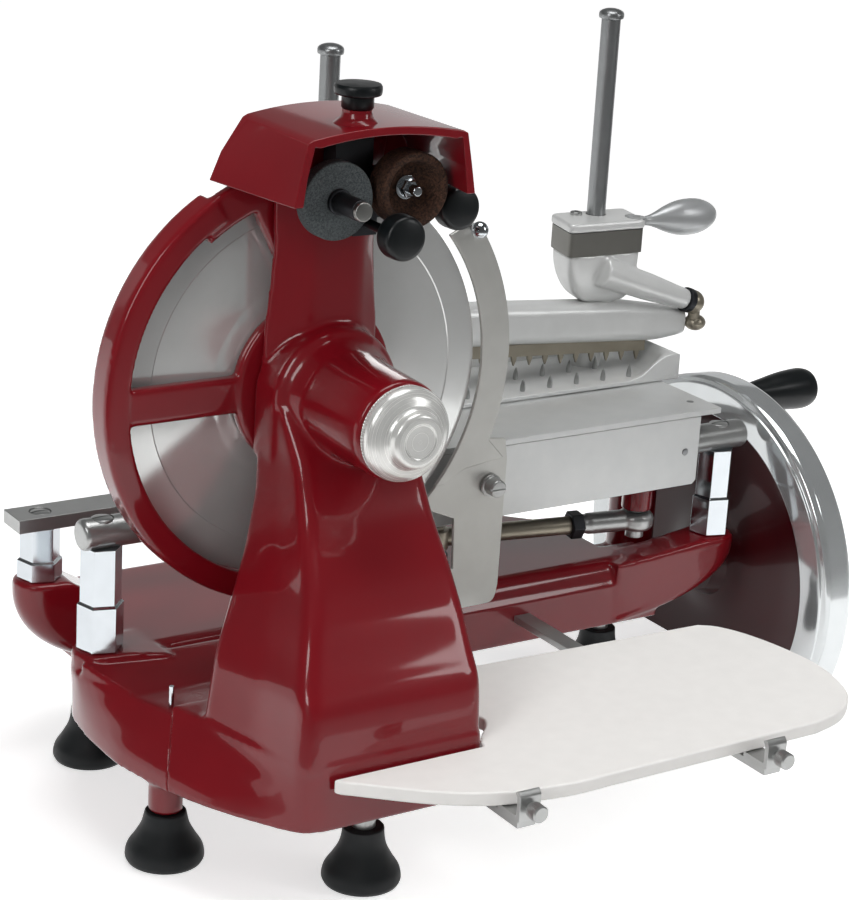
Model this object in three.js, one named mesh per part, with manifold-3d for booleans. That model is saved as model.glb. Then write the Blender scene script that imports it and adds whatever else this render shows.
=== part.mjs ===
// Flywheel meat slicer, in millimetres, +Z up.
// X runs along the rails towards the flywheel, Y from the receiving board to the meat table.
// The table top is z = 0, and the slicer's own zero is the front left rail post.
import * as THREE from 'three';
import { mergeVertices } from 'three/addons/utils/BufferGeometryUtils.js';
import Module from 'manifold-3d';

// driving dimensions
const GAP = 0.3;                 // between pieces that touch
const RUN = 0.6;                 // between pieces that move
const RAIL_Z = 222;              // axis of the round rail above the table
const RAIL_R = 12.5;
const RAIL_X = [-19, 629.5];
const POST_X = [0, 603.6];
const REAR_Y = 112;              // middle of the flat rail
const FLAT_RAIL = { y0: 96.7, y1: 127.4, z0: 190.6, z1: 201.9 };
const LUG_Z = { front: 127, frontRight: 132, rear: 145.5 };
const LUG_R = 22;
const SKIRT_Z = 67;              // lower edge of both castings
const DECK_Z = 124;
const SHELF_Z = 113;
const SEAM = [[0, 67], [0.12, 80], [0.45, 98], [0.8, 109], [0.89, 113], [1, 118]];   // slanting joint
const BEAM = { x0: 30, x1: 537, y0: -18, y1: 158 };
const FOOT_R = 30;
const FOOT_H = 46;
const BLADE = { x: 148, z: 339.5, r: 158, y0: -46, y1: -38.4 };
const GUARD = { r0: 158.6, r1: 175.7, y0: -60, y1: -47, hub: 68 };
const HUB_FRONT = -97;           // front of the round hub housing
const BOSS_FRONT = -184;
const BOSS_R = 39;
const CAP = { r: 36, knob: 21, y0: -184.4, y1: -190, y2: -210 };
const WHEEL = { x: 644, y: 56, z: 78, r: 174, flange: 167, web: 140.7, width: 36 };
const CRANK = { x: 250, y: 56, r: 86, z0: 127, z1: 138 };
const CROSS_X = 118;             // shaft that takes the drive across to the tower
const CHAIN_Y = -116;
const SHAFT_R = 10;
const LUG_PIN = { x: 525, y: 8 };
const REACH = Math.hypot(LUG_PIN.x - CRANK.x, LUG_PIN.y - CRANK.y);
const CRANK_PIN = [CRANK.x + (LUG_PIN.x - CRANK.x) * CRANK.r / REACH,
  CRANK.y + (LUG_PIN.y - CRANK.y) * CRANK.r / REACH];
const HANDLE = { x1: 762, y: 60, z: 232, r: 19 };
const ROD_Z = 152;
const TABLE_Z = 263;             // top of the meat table's floor
const FEED = { x: 400, z: 247 };
const UPRIGHT = { x: 540, left: 257, y: 120, r: 8.4, top: 585, leftTop: 566 };
const HEAD_Z = 402;
const LEVER = { x: 569, y: 98, z: 397.5 };
const HOOD = { x: 148, z0: 502, z1: 549.5, crown: 555.5, y0: -148, y1: -47 };
const HOOD_KNOB = { x: 135.5, y: -122, r: 17.4, top: 583.5 };
const GREY = [122, 498.5];
const BROWN = [184, 503];
const KNOBS = [[159, -148, 475.5], [233.4, -106, 482.8]];
const SLEEVE_FOOT = [-1, -118];
const TOWER_FOOT = [114, -214];
const BOARD = { z: 110, t: 11 };
const ORIGIN = new THREE.Vector3(114, -214, 0);   // middle of the tower foot, on the table

const paint = { color: 0x8c1420, roughness: 0.25, metalness: 0.0 };
const chrome = { color: 0xd8dadc, roughness: 0.08, metalness: 1.0 };
const steel = { color: 0xb4b5b4, roughness: 0.32, metalness: 1.0 };
const darkSteel = { color: 0x55565a, roughness: 0.4, metalness: 1.0 };
const aluminium = { color: 0xc9cac9, roughness: 0.4, metalness: 1.0 };
const rubber = { color: 0x16191b, roughness: 0.55, metalness: 0.0 };
const blackPlastic = { color: 0x14181a, roughness: 0.3, metalness: 0.0 };
const boardWhite = { color: 0xf1efec, roughness: 0.5, metalness: 0.0 };
const greyStone = { color: 0x4a4d4e, roughness: 0.9, metalness: 0.0 };
const brownStone = { color: 0x5a3527, roughness: 0.9, metalness: 0.0 };

const wasm = await Module();
wasm.setup();
const slicer = new THREE.Group();
slicer.position.copy(ORIGIN).negate();

function add(name, geometry, look) {
  const mesh = new THREE.Mesh(clean(geometry), new THREE.MeshStandardMaterial(look));
  mesh.name = name;
  slicer.add(mesh);
}

// joined vertices, no collapsed triangles, faces outward
function clean(geometry) {
  geometry.deleteAttribute('normal');
  geometry.deleteAttribute('uv');
  const merged = mergeVertices(geometry, 1e-4);
  const p = merged.attributes.position;
  const index = merged.index.array;
  const kept = [];
  let volume = 0;
  const [a, b, c] = [new THREE.Vector3(), new THREE.Vector3(), new THREE.Vector3()];
  for (let i = 0; i < index.length; i += 3) {
    const [i0, i1, i2] = [index[i], index[i + 1], index[i + 2]];
    if (i0 === i1 || i1 === i2 || i2 === i0) continue;
    kept.push(i0, i1, i2);
    a.fromBufferAttribute(p, i0);
    b.fromBufferAttribute(p, i1);
    c.fromBufferAttribute(p, i2);
    volume += a.dot(b.cross(c));
  }
  if (volume < 0) kept.reverse();
  merged.setIndex(kept);
  return merged;
}

function toSolid(geometry) {
  const g = clean(geometry);
  const mesh = new wasm.Mesh({
    numProp: 3,
    vertProperties: new Float32Array(g.attributes.position.array),
    triVerts: new Uint32Array(g.index.array),
  });
  return new wasm.Manifold(mesh);
}

function toGeometry(solid) {
  const mesh = solid.getMesh();
  const g = new THREE.BufferGeometry();
  g.setAttribute('position', new THREE.BufferAttribute(new Float32Array(mesh.vertProperties), 3));
  g.setIndex(new THREE.BufferAttribute(new Uint32Array(mesh.triVerts), 1));
  return g;
}

const join = (...parts) => toGeometry(parts.map(toSolid).reduce((s, t) => s.add(t)));

function cut(body, ...tools) {
  return toGeometry(tools.map(toSolid).reduce((s, t) => s.subtract(t), toSolid(body)));
}

const common = (a, b) => toGeometry(toSolid(a).intersect(toSolid(b)));

// basic shapes, each made in its final place

function box(x0, x1, y0, y1, z0, z1) {
  const g = new THREE.BoxGeometry(x1 - x0, y1 - y0, z1 - z0);
  return g.translate((x0 + x1) / 2, (y0 + y1) / 2, (z0 + z1) / 2);
}

const AXES = {
  x: new THREE.Matrix4().makeBasis(
    new THREE.Vector3(0, 1, 0), new THREE.Vector3(1, 0, 0), new THREE.Vector3(0, 0, -1)),
  y: new THREE.Matrix4(),
  z: new THREE.Matrix4().makeBasis(
    new THREE.Vector3(1, 0, 0), new THREE.Vector3(0, 0, 1), new THREE.Vector3(0, -1, 0)),
};

// profile of [radius, place along the axis]; centre gives the two or three other coordinates
function turned(axis, centre, profile, sides = 20) {
  const points = profile.map(([r, t]) => new THREE.Vector2(Math.max(r, 0), t));
  const g = new THREE.LatheGeometry(points, sides).applyMatrix4(AXES[axis]);
  return g.translate(...centre);
}

function rod(axis, centre, r, a, b, sides = 16) {
  return turned(axis, centre, [[0, a], [r, a], [r, b], [0, b]], sides);
}

function hexagon(axis, centre, flats, a, b) {
  return turned(axis, centre, [[0, a], [flats / Math.sqrt(3), a], [flats / Math.sqrt(3), b], [0, b]], 6);
}

function outline(all, holes = []) {
  const points = all.filter(([x, y], i) => {
    const [[a, b], [c, d]] = [all.at(i - 1), all[(i + 1) % all.length]];
    return Math.abs((x - a) * (d - y) - (y - b) * (c - x)) > 1e-6;
  });
  const shape = new THREE.Shape(points.map(([x, y]) => new THREE.Vector2(x, y)));
  shape.holes = holes.map((h) => new THREE.Path(h.map(([x, y]) => new THREE.Vector2(x, y))));
  return shape;
}

// drawn in plan and raised along Z
function raised(points, z0, z1, holes = []) {
  const g = new THREE.ExtrudeGeometry(outline(points, holes), { depth: z1 - z0, bevelEnabled: false });
  return g.translate(0, 0, z0);
}

// drawn as (x, z) and carried along Y
function along(points, y0, y1, holes = []) {
  const g = new THREE.ExtrudeGeometry(outline(points, holes), { depth: y1 - y0, bevelEnabled: false });
  return g.rotateX(Math.PI / 2).translate(0, y1, 0);
}

// drawn as (y, z) and carried along X
function across(points, x0, x1) {
  const g = new THREE.ExtrudeGeometry(outline(points), { depth: x1 - x0, bevelEnabled: false });
  const turn = new THREE.Matrix4().makeBasis(
    new THREE.Vector3(0, 1, 0), new THREE.Vector3(0, 0, 1), new THREE.Vector3(1, 0, 0));
  return g.applyMatrix4(turn).translate(x0, 0, 0);
}

// skin over rings with the same number of points, closed at both ends
function loft(rings) {
  const n = rings[0].length;
  const centres = [rings[0], rings[rings.length - 1]].map((r) => [0, 1, 2].map(
    (k) => r.reduce((s, p) => s + p[k], 0) / n));
  const position = [...rings.flat(2), ...centres.flat()];
  const index = [];
  const last = rings.length - 1;
  for (let k = 0; k < last; k += 1) {
    for (let i = 0; i < n; i += 1) {
      const [a, b] = [k * n + i, k * n + (i + 1) % n];
      index.push(a, b, b + n, a, b + n, a + n);
    }
  }
  const c = rings.length * n;
  for (let i = 0; i < n; i += 1) {
    index.push(c, (i + 1) % n, i, c + 1, last * n + i, last * n + (i + 1) % n);
  }
  const g = new THREE.BufferGeometry();
  g.setAttribute('position', new THREE.BufferAttribute(new Float32Array(position), 3));
  g.setIndex(index);
  return g;
}

// plan polygon with rounded corners: corner entries are [x, y, radius]
function rounded(corners, steps = 3) {
  const out = [];
  corners.forEach(([x, y, r], i) => {
    const [px, py] = corners[(i + corners.length - 1) % corners.length];
    const [qx, qy] = corners[(i + 1) % corners.length];
    const before = Math.hypot(px - x, py - y);
    const after = Math.hypot(qx - x, qy - y);
    const d = Math.min(r, before * 0.45, after * 0.45);
    const a = [x + (px - x) * d / before, y + (py - y) * d / before];
    const b = [x + (qx - x) * d / after, y + (qy - y) * d / after];
    for (let s = 0; s <= steps; s += 1) {
      const t = s / steps;
      const [u, v, w] = [(1 - t) ** 2, 2 * t * (1 - t), t ** 2];
      out.push([u * a[0] + v * x + w * b[0], u * a[1] + v * y + w * b[1]]);
    }
  });
  return out;
}

function arc(cx, cy, r, from, to, steps) {
  return Array.from({ length: steps + 1 }, (_, i) => {
    const a = THREE.MathUtils.degToRad(from + (to - from) * i / steps);
    return [cx + r * Math.cos(a), cy + r * Math.sin(a)];
  });
}

const between = (a, b, t) => a + (b - a) * t;

// value of a table of [key, value] at a key, straight between its rows
function at(table, key) {
  if (key <= table[0][0]) return table[0][1];
  for (let i = 1; i < table.length; i += 1) {
    const [[k0, v0], [k1, v1]] = [table[i - 1], table[i]];
    if (key <= k1) return between(v0, v1, (key - k0) / (k1 - k0));
  }
  return table[table.length - 1][1];
}

// base casting

// left end of the base in plan, from the beam's rear corner round to the seam with the tower
const SHELF_LOW = [[38, 90], [12, 60], [-6, 34], [-18, 10], [-22.5, -12], [-25, -34],
  [-26, -58], [-25, -84], [-19, -115], [-13, -141]];
const SHELF_HIGH = [[40, 88], [14, 56], [-7, 32], [-21, 9], [-24.5, -10], [-19, -32],
  [-10, -52], [-2, -70], [4, -86], [9, -104]];

function shelf() {
  const level = (t, z, inset) => {
    const edge = SHELF_LOW.map(([x, y], i) => {
      const [hx, hy] = SHELF_HIGH[i];
      return [between(x, hx, t) + inset, between(y, hy, t), z];
    });
    const seam = edge[edge.length - 1][1];
    return [[180, 90, z], ...edge, [180, seam, z]];
  };
  return loft(SEAM.slice(0, 5).map(([t, z], i) => level(t, z, i === 4 ? 1.5 : 0)).map((r) => r.reverse()));
}

function beam() {
  const { x0, x1, y0, y1 } = BEAM;
  const top = [[y0, SKIRT_Z], [y0, 104], [y0 + 4, 109], [y0 + 5.5, 114], [y0 + 10, 120], [y0 + 17, DECK_Z],
    [y1 - 10, DECK_Z], [y1 - 2, 120], [y1, 112], [y1, SKIRT_Z]];
  const corner = [[24, 500], [88, 500], [110, 486], [140, 455], [164, 420]];
  const level = (z) => {
    const out = (DECK_Z - z) * (x1 - 500) / (DECK_Z - SKIRT_Z);
    return [...corner.map(([y, x]) => [x + out, y, z]), [620, 164, z], [620, 24, z]];
  };
  return cut(across(top, x0, x1), loft([level(SKIRT_Z - 4), level(DECK_Z + 4)]));
}

// low arm with an upright boss at its end, for the post behind the hand wheel's shaft
function rearRightLug() {
  const x = POST_X[1];
  return join(box(470, x, REAR_Y - 14, REAR_Y + 14, SKIRT_Z + 0.5, 80),
    rod('z', [x, REAR_Y, 0], LUG_R, SKIRT_Z + 1, LUG_Z.rear, 24));
}

// arm that carries one rail post beyond the end of the beam
function lugArm(x, y, top, inward, back = 30) {
  const side = [[inward, SKIRT_Z + 2], ...[0, 0.2, 0.4, 0.6, 0.8, 1].map((t) => {
    const a = t * Math.PI / 2;
    const reach = between(inward, x + Math.sign(x - inward) * LUG_R, Math.sin(a));
    return [reach, SKIRT_Z + 4 + (top - SKIRT_Z - 14) * (1 - Math.cos(a))];
  }), [x + Math.sign(x - inward) * LUG_R, top], [x - Math.sign(x - inward) * LUG_R * 0.8, top],
  [between(x, inward, 0.92), DECK_Z - 1], [inward, DECK_Z - 1]];
  const turn = Math.sign(x - inward) > 0 ? -90 : 90;
  const plan = [...arc(x, y, LUG_R, turn, turn + 180, 12), [inward, y + (turn > 0 ? -30 : back)],
    [inward, y + (turn > 0 ? 30 : -30)]];
  return common(along(side, y - 45, y + 45), raised(plan, 40, 160));
}

function baseCasting() {
  const wall = 7;
  const { x0, x1, y0, y1 } = BEAM;
  const plan = [...SHELF_HIGH.map(([x, y]) => [x + 1, y]), [90, -104], [90, 88]];
  const slope = common(across([[-74, 100], [-68, SHELF_Z], [-18, DECK_Z - 1], [-10, 100]], -30, 90),
    raised(plan, 100.5, DECK_Z));
  const body = join(beam(), shelf(), slope,
    lugArm(POST_X[0], 0, LUG_Z.front, 60), lugArm(POST_X[0], REAR_Y, LUG_Z.rear, 60),
    lugArm(POST_X[1], 0, LUG_Z.frontRight, 490, 14), rearRightLug(),
    rod('x', [0, WHEEL.y, WHEEL.z], 17, x1 - 20, 634));
  const beamRoom = raised([[x0 + 28, y0 + wall], [x1 - 49, y0 + wall], [x1 - 49, 80], [474, 106], [446, 131],
    [415, y1 - wall], [x0 + 28, y1 - wall]], 40, DECK_Z - 14);
  const shelfRoom = raised([[6, -150], [170, -150], [170, 0], [60, 0], [20, 0], [4, -34]], 40, 99);
  const hollow = cut(body, beamRoom, shelfRoom,
    box(CROSS_X - 26, CROSS_X + 30, -130, -104, 40, 125),
    rod('z', [CRANK.x, CRANK.y, 0], 14, 60, 140),
    rod('x', [0, WHEEL.y, WHEEL.z], SHAFT_R + RUN, x1 - 60, 640));
  const [fx, fy] = SLEEVE_FOOT;
  return join(hollow, turned('z', [fx, fy, 0], [[0, 41.3], [12, 41.3], [13.5, 43], [13.5, 80],
    [0, 80]], 20));
}

// tower casting: foot, leaning body, round hub housing, boss and upper column

const FRONT_Y = [[SKIRT_Z, -250], [109, -247], [143, -243], [160, -240], [171, -231], [183, -222],
  [204, -209], [230, -188], [259, -160], [282, -144], [320, -114], [336, -100], [394, HUB_FRONT]];
const REAR_LEFT = [[118, [18, -134]], [163, [34, -118]], [182, [48, -105]], [207, [64, -92]],
  [227, [76, -82]], [266, [89, -72]], [298, [94, -64]], [394, [94, -62]]];
const FRONT_LEFT_X = [[SKIRT_Z, 41], [118, 41], [165, 46], [200, 60], [225, 72], [260, 86], [300, 96]];

function towerSection(z) {
  const pick = (i) => at(REAR_LEFT.map(([k, v]) => [k, v[i]]), z);
  const front = at(FRONT_Y, z);
  const bow = z > BLADE.z ? Math.sqrt(Math.max(0, 54 ** 2 - (z - BLADE.z) ** 2)) : 54;
  const narrow = (x) => BLADE.x + THREE.MathUtils.clamp(x - BLADE.x, -bow, z > 290 ? bow : 54);
  const flat = z > 290;
  const left = flat ? narrow(pick(0)) : pick(0);
  const rear = at([[110, -105], [118, -105], [227, -74], [298, -61], [394, -60.3]], z);
  const right = flat ? narrow(200) : at([[SKIRT_Z, 195], [118, 195], [290, 201]], z);
  const corner = z > 330 ? 6 : 10;
  const fx = flat ? narrow(at(FRONT_LEFT_X, z)) : at(FRONT_LEFT_X, z);
  return rounded([[left, pick(1), 8], [between(left, fx, 0.5), between(pick(1), front, 0.5), 4],
    [fx, front, corner], [right, front, corner], [right, rear, 6], [between(left, right, 0.35),
    rear, 6]], 2)
    .map(([x, y]) => [x, y, z]);
}

function towerFoot() {
  const low = [[-13, -141.5], [-4, -168], [14, -204], [33, -234], [44, -246], [60, -249.5],
    [190, -250], [195, -246], [195, -141.5]];
  const high = [[9.4, -104.5], [13, -118], [18, -135], [34, -210], [40, -240], [56, -246.5],
    [190, -247], [195, -243], [195, -104.5]];
  const level = (t, z) => low.map(([x, y], i) => {
    const [hx, hy] = high[i];
    return [between(x, hx, t), between(y, hy, t), z];
  });
  return loft(SEAM.map(([t, z]) => level(t, z)));
}

function column() {
  const level = (z, half) => rounded([[BLADE.x - half, -60.6, 2], [BLADE.x - half, -66, 3],
    [BLADE.x - 22, -82, 6], [BLADE.x + 22, -82, 6], [BLADE.x + half, -66, 3],
    [BLADE.x + half, -60.6, 2]], 1)
    .map(([x, y]) => [x, y, z]);
  return loft([level(300, 50), level(388, 49), level(410, 46), level(450, 43), level(500, 45),
    level(532, 52)]);
}

function towerCasting() {
  const heights = [SHELF_Z + GAP, 150, 162, 180, 205, 245, 275, 300, 325, 345, 362, 376, 387, 392.8];
  const body = loft(heights.map(towerSection));
  const boss = turned('y', [BLADE.x, 0, BLADE.z], [[0, BOSS_FRONT], [BOSS_R - 3, BOSS_FRONT],
    [BOSS_R - 1, BOSS_FRONT + 2], [BOSS_R + 0.5, -130], [BOSS_R + 2, -112], [BOSS_R + 6, -101],
    [BOSS_R + 9, HUB_FRONT + 1], [BOSS_R + 9, -90], [0, -90]], 24);
  const ear = box(150, 214, -104, -47.9, 129, 157);
  const tower = join(body, towerFoot(), column(), boss, ear);
  const room = loft([110, 160, 227, 290].map((z) => {
    const front = at(FRONT_Y, z) + 9;
    const rear = at([[110, -111.5], [160, -104], [227, -84], [290, -72]], z);
    const left = at([[110, 48], [160, 56], [227, 84], [290, 106]], z);
    return [[left, rear, z], [left, front, z], [188, front, z], [188, rear, z]];
  }));
  const under = raised([[24, -100], [24, -170], [50, -240], [188, -240], [188, -100]], 40, 111);
  const [fx, fy] = TOWER_FOOT;
  const hollow = cut(tower, room, under,
    rod('y', [BLADE.x, 0, BLADE.z], 27, -124, -84, 20),
    box(BLADE.x - 27, BLADE.x + 25, -122, -84, 270, BLADE.z),
    rod('y', [BLADE.x, 0, BLADE.z], 12 + RUN, -190, -40));
  return join(hollow, rod('z', [fx, fy, 0], 16, SKIRT_Z, 112), box(fx - 8, fx + 8, -246, fy, SKIRT_Z, 112));
}

// feet

// rubber bell with its levelling stud
function foot(x, y, neck, top) {
  const stem = top ? [[9, neck], [9, top], [0, top]] : [[0, neck]];
  return turned('z', [x, y, 0], [[0, 0], [27, 0], [FOOT_R, 6], [28, 14], [20, 23], [16, 35],
    [15.6, neck], ...stem], 20);
}

// rails and posts

// two stacked hexagons under the rail and a slotted screw down through it
function post(x, y, z0, z1, split, head) {
  const screw = turned('z', [x, y, 0], [[0, z1 - 4], [4, z1 - 4], [4, head - 2], [8.6, head - 2],
    [8.6, head],
    [0, head + 1]], 14);
  const slot = box(x - 10, x + 10, y - 0.9, y + 0.9, head - 0.4, head + 3);
  const hex = (flats, a, b) => hexagon('z', [0, 0, 0], flats, a, b).rotateZ(Math.PI / 12).translate(x, y, 0);
  return join(hex(32, z0 + GAP, split), hex(28.4, split - 1, z1 - GAP), cut(screw, slot));
}

function screwSeats(y, top) {
  return POST_X.flatMap((x) => [rod('z', [x, y, 0], 9, top - 2.6, top + 4, 16),
    rod('z', [x, y, 0], 4 + GAP, top - 40, top, 12)]);
}

function roundRail() {
  const [a, b] = RAIL_X;
  const bar = turned('x', [0, 0, RAIL_Z], [[0, a], [RAIL_R - 2, a], [RAIL_R, a + 2], [RAIL_R, b - 2],
    [RAIL_R - 2, b], [0, b]], 26);
  return cut(bar, ...screwSeats(0, RAIL_Z + RAIL_R));
}

function flatRail() {
  const { y0, y1, z0, z1 } = FLAT_RAIL;
  return cut(box(-24.8, 629, y0, y1, z0, z1), ...screwSeats(REAR_Y, z1));
}

// blade side of the tower

function blade() {
  const { r, y0, y1 } = BLADE;
  return turned('y', [BLADE.x, 0, BLADE.z], [[12 + GAP, y1], [r - 5, y1], [r, y1 - 0.6], [r - 1, y1 - 2.2],
    [r - 26, y0 + 2.6], [r - 27, y0 + 3.1], [80, y0], [76, y0 - 1], [12 + GAP, y0 - 1], [12 + GAP, y1]], 52);
}

function ringGuard() {
  const { r0, r1, y0, y1, hub } = GUARD;
  const [cx, cz] = [BLADE.x, BLADE.z];
  const band = along([...arc(cx, cz, r1, 121, 282, 30), ...arc(cx, cz, r0 - 3, 282, 121, 30)], y0, y1 + 12);
  const room = rod('y', [cx, 0, cz], r0 + 1.5, y1 - 1.6, y1 + 20, 64);
  const rim = cut(band, room);
  const spoke = (from, to, a, b) => along([[a, from], [b, from], [b, to], [a, to]], y0 + 1, y1 - 2);
  const left = spoke(cz - 15, cz + 13, cx - r0 + 1, cx - hub + 4);
  const up = along([[cx - 16, cz + hub - 4], [cx + 14, cz + hub - 4], [cx + 14, cz + 150],
    [cx - 40, cz + 161],
    [cx - 62, cz + 150]], y0 + 1, y1 - 2);
  const down = spoke(cz - r0 + 1, cz - hub + 4, cx - 14, cx + 14);
  const centre = rod('y', [cx, 0, cz], hub, y0, y1 - 1.4, 28);
  const cap = along(arc(cx, cz, r1, 104, 128, 8).concat(arc(cx, cz, 149, 128, 104, 8)), y0 + 1, y1 - 2);
  return cut(join(rim, left, up, down, centre, cap), rod('y', [cx, 0, cz], 12 + RUN, y0 - 5, y1 + 5));
}

function hubCap() {
  const { r, knob, y0, y1, y2 } = CAP;
  return turned('y', [BLADE.x, 0, BLADE.z], [[0, y2], [knob - 2, y2], [knob, y2 + 2], [knob + 0.6, y1 - 13],
    [knob + 3, y1 - 10.5], [r - 6, y1 - 8], [r - 1.5, y1 - 4], [r, y1], [r, y0], [0, y0]], 24);
}

function sidePlate() {
  const [cx, cz] = [BLADE.x, BLADE.z];
  const inner = arc(cx, cz, 161.5, 40, -46, 20);
  const shape = [...inner, [272, 214], [293, 205], [295, 161], [204, 157], [204, 130], [300, 124.5],
    [333, 125],
    [338, 127.5], [340, 133], [342, 250], [338, 290], ...arc(cx, cz, 188, -9, 36, 12), [290, 452]];
  return cut(along(shape, -47.6, -43.6), rod('y', [326, 0, 230], 4 + GAP, -60, -30, 16));
}

function plateBolt() {
  return turned('y', [326, 0, 230], [[0, -61], [3, -61], [7.5, -58], [7.5, -50.4], [9.5, -50.2],
    [9.5, -47.9],
    [4, -47.9], [4, -43.9], [0, -43.9]], 16);
}

function plateBall() {
  const head = arc(0, 0, 7, -90, 60, 5).map(([c, t]) => [c, -57 + t]);
  return turned('y', [293, 0, 448], [...head, [3.2, -47.9], [0, -47.9]], 14);
}

// drive

// toothed cone, wide at one end of its axis and narrower towards the meeting point
function bevel(axis, centre, wide, wideR, point) {
  const t = (k) => between(wide, point, k);
  const back = wide + Math.sign(wide - point) * 5;
  return turned(axis, centre, [[0, back], [wideR * 0.75, back], [wideR - 0.5, t(0)],
    [wideR * 0.64 - 0.5, t(0.36)], [0, t(0.36)]], 24);
}

function flywheelRim() {
  const { x, y, z, r, flange, web, width } = WHEEL;
  const inner = web + GAP;
  const back = x + width;
  const rim = turned('x', [0, y, z], [[inner, x], [flange, x], [flange + 0.5, x + 2.2],
    [r - 2.5, x + 3.6], [r, x + 8], [r, back - 8], [r - 2.5, back - 3.6], [flange, back - 1.5],
    [inner, back - 1.5], [inner, x]], 52);
  return cut(rim, rod('x', [0, HANDLE.y, HANDLE.z], 6 + GAP, x + 20, x + 60, 20));
}

function flywheelWeb() {
  const { x, y, z, web } = WHEEL;
  const bore = SHAFT_R + GAP;
  return turned('x', [0, y, z], [[bore, x - 6], [28, x - 6], [34, x + 5], [60, x + 10], [web, x + 4],
    [web, x + 26], [60, x + 20], [36, x + 28], [28, x + 38], [bore, x + 38], [bore, x - 6]], 32);
}

function handleSpindle() {
  const { x1, y, z } = HANDLE;
  const back = WHEEL.x + WHEEL.width;
  return turned('x', [0, y, z], [[0, WHEEL.x + 20 + GAP], [6, WHEEL.x + 20 + GAP], [6, back - 1],
    [11, back - 1],
    [11, back + 5], [6, back + 5], [6, x1 - 10], [0, x1 - 10]], 20);
}

function handleGrip() {
  const { x1, y, z, r } = HANDLE;
  const a = WHEEL.x + WHEEL.width + 5.6;
  return turned('x', [0, y, z], [[6 + RUN, a], [11, a], [14, a + 18], [r - 1, a + 44], [r, a + 58],
    [r - 3, x1 - 5], [r - 10, x1 - 1], [0, x1], [0, x1 - 9], [6 + RUN, x1 - 9], [6 + RUN, a]], 20);
}

function flywheelShaft() {
  const { x, y, z } = WHEEL;
  const c = [0, y, z];
  const bar = rod('x', c, SHAFT_R, CROSS_X + 14, x + 38);
  const nut = turned('x', c, [[0, x + 38.3], [17, x + 38.3], [17, x + 41], [14, x + 50], [0, x + 51]], 24);
  return join(bar, bevel('x', c, CRANK.x + 22, 22, CRANK.x), bevel('x', c, CROSS_X + 18, 18, CROSS_X), nut,
    rod('x', c, 8, x + 37, x + 39));
}

function crankShaft() {
  const { x, y, r, z0, z1 } = CRANK;
  const c = [x, y, 0];
  const [px, py] = CRANK_PIN;
  const turn = Math.atan2(py - y, px - x);
  const arm = raised([...arc(0, 0, 22, 90, 270, 10), ...arc(r, 0, 12, -90, 90, 8)], z0, z1)
    .rotateZ(turn).translate(x, y, 0);
  return join(arm, rod('z', c, 12, 92, z0 + 2), bevel('z', c, WHEEL.z + 22, 22, WHEEL.z));
}

function crossShaft() {
  const c = [CROSS_X, 0, WHEEL.z];
  return join(rod('y', c, 8, CHAIN_Y - 8, WHEEL.y - 14), bevel('y', c, WHEEL.y - 18, 18, WHEEL.y),
    sprocket(c[0], c[2]));
}

function bladeShaft() {
  const c = [BLADE.x, 0, BLADE.z];
  const bar = turned('y', c, [[0, -182], [12, -182], [12, -37], [20, -36.8], [20, -32], [8, -28],
    [0, -28]], 18);
  return join(bar, sprocket(c[0], c[2]));
}

function chainLoop() {
  const [r, half] = [20.5, 2.6];
  const [x0, z0, x1, z1] = [CROSS_X, WHEEL.z, BLADE.x, BLADE.z];
  const lean = THREE.MathUtils.radToDeg(Math.atan2(z1 - z0, x1 - x0));
  const path = (k) => [...arc(x1, z1, k, lean - 90, lean + 90, 12),
    ...arc(x0, z0, k, lean + 90, lean + 270, 12)];
  return along(path(r), CHAIN_Y - half, CHAIN_Y + half, [path(r - 4).reverse()]);
}

function sprocket(x, z) {
  const teeth = 14;
  const points = Array.from({ length: teeth * 2 }, (_, i) => {
    const a = Math.PI * i / teeth;
    const r = i % 2 ? 15.8 : 13.6;
    return [x + r * Math.cos(a), z + r * Math.sin(a)];
  });
  return along(points, CHAIN_Y - 2, CHAIN_Y + 2);
}

// carriage

function carriageBody() {
  const bush = (a, b) => rod('x', [0, 0, RAIL_Z], 18, a, b, 22);
  const web = box(206, 548, -18.9, 64, 240, 252.4);
  const bridge = box(206, 548, 14, 20, 214, 244);
  const arms = [214, 506].flatMap((x) => [box(x, x + 34, 62.5, 124, 240, 258.4),
    box(x, x + 34, 100, 124, 202.5, 242)]);
  const lug = turned('z', [LUG_PIN.x, LUG_PIN.y, 0], [[0, 163], [12.6, 163], [13.4, 164.5],
    [13.4, 208], [0, 208]], 24);
  const body = join(bush(206, 262), bush(490, 546), web, bridge, lug, ...arms);
  return cut(body, rod('x', [0, 0, RAIL_Z], RAIL_R + RUN, 100, 700, 22),
    rod('z', [LUG_PIN.x, LUG_PIN.y, 0], 5 + GAP, 150, 195, 16),
    rod('y', [FEED.x, 0, FEED.z], 5 + RUN, 30, 90, 16));
}

function frontPlate() {
  const shape = [[204, 190.3], [559, 190.3], [562.7, 194], [562.7, 252.4], [204, 252.4]];
  return cut(along(shape, -24.2, -19.2), rod('y', [551, 0, 221], 4, -30, -22, 16));
}

// the rod, its fork and its nut are drawn along +X from the lug and then turned to the crank
function toCrank(g) {
  const turn = Math.atan2(CRANK_PIN[1] - LUG_PIN.y, CRANK_PIN[0] - LUG_PIN.x);
  return g.rotateZ(turn).translate(LUG_PIN.x, LUG_PIN.y, 0);
}

function connectingRod() {
  const length = REACH - CRANK.r;
  return toCrank(join(rod('x', [0, 0, ROD_Z], 8, 40, length - 8, 20),
    rod('z', [length, 0, 0], 12, ROD_Z - 9, ROD_Z + 9, 24),
    rod('z', [length, 0, 0], 6.5, CRANK.z1 + RUN, ROD_Z + 8, 16),
    rod('z', [length, 0, 0], 9, ROD_Z + 8, ROD_Z + 12, 6)));
}

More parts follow.
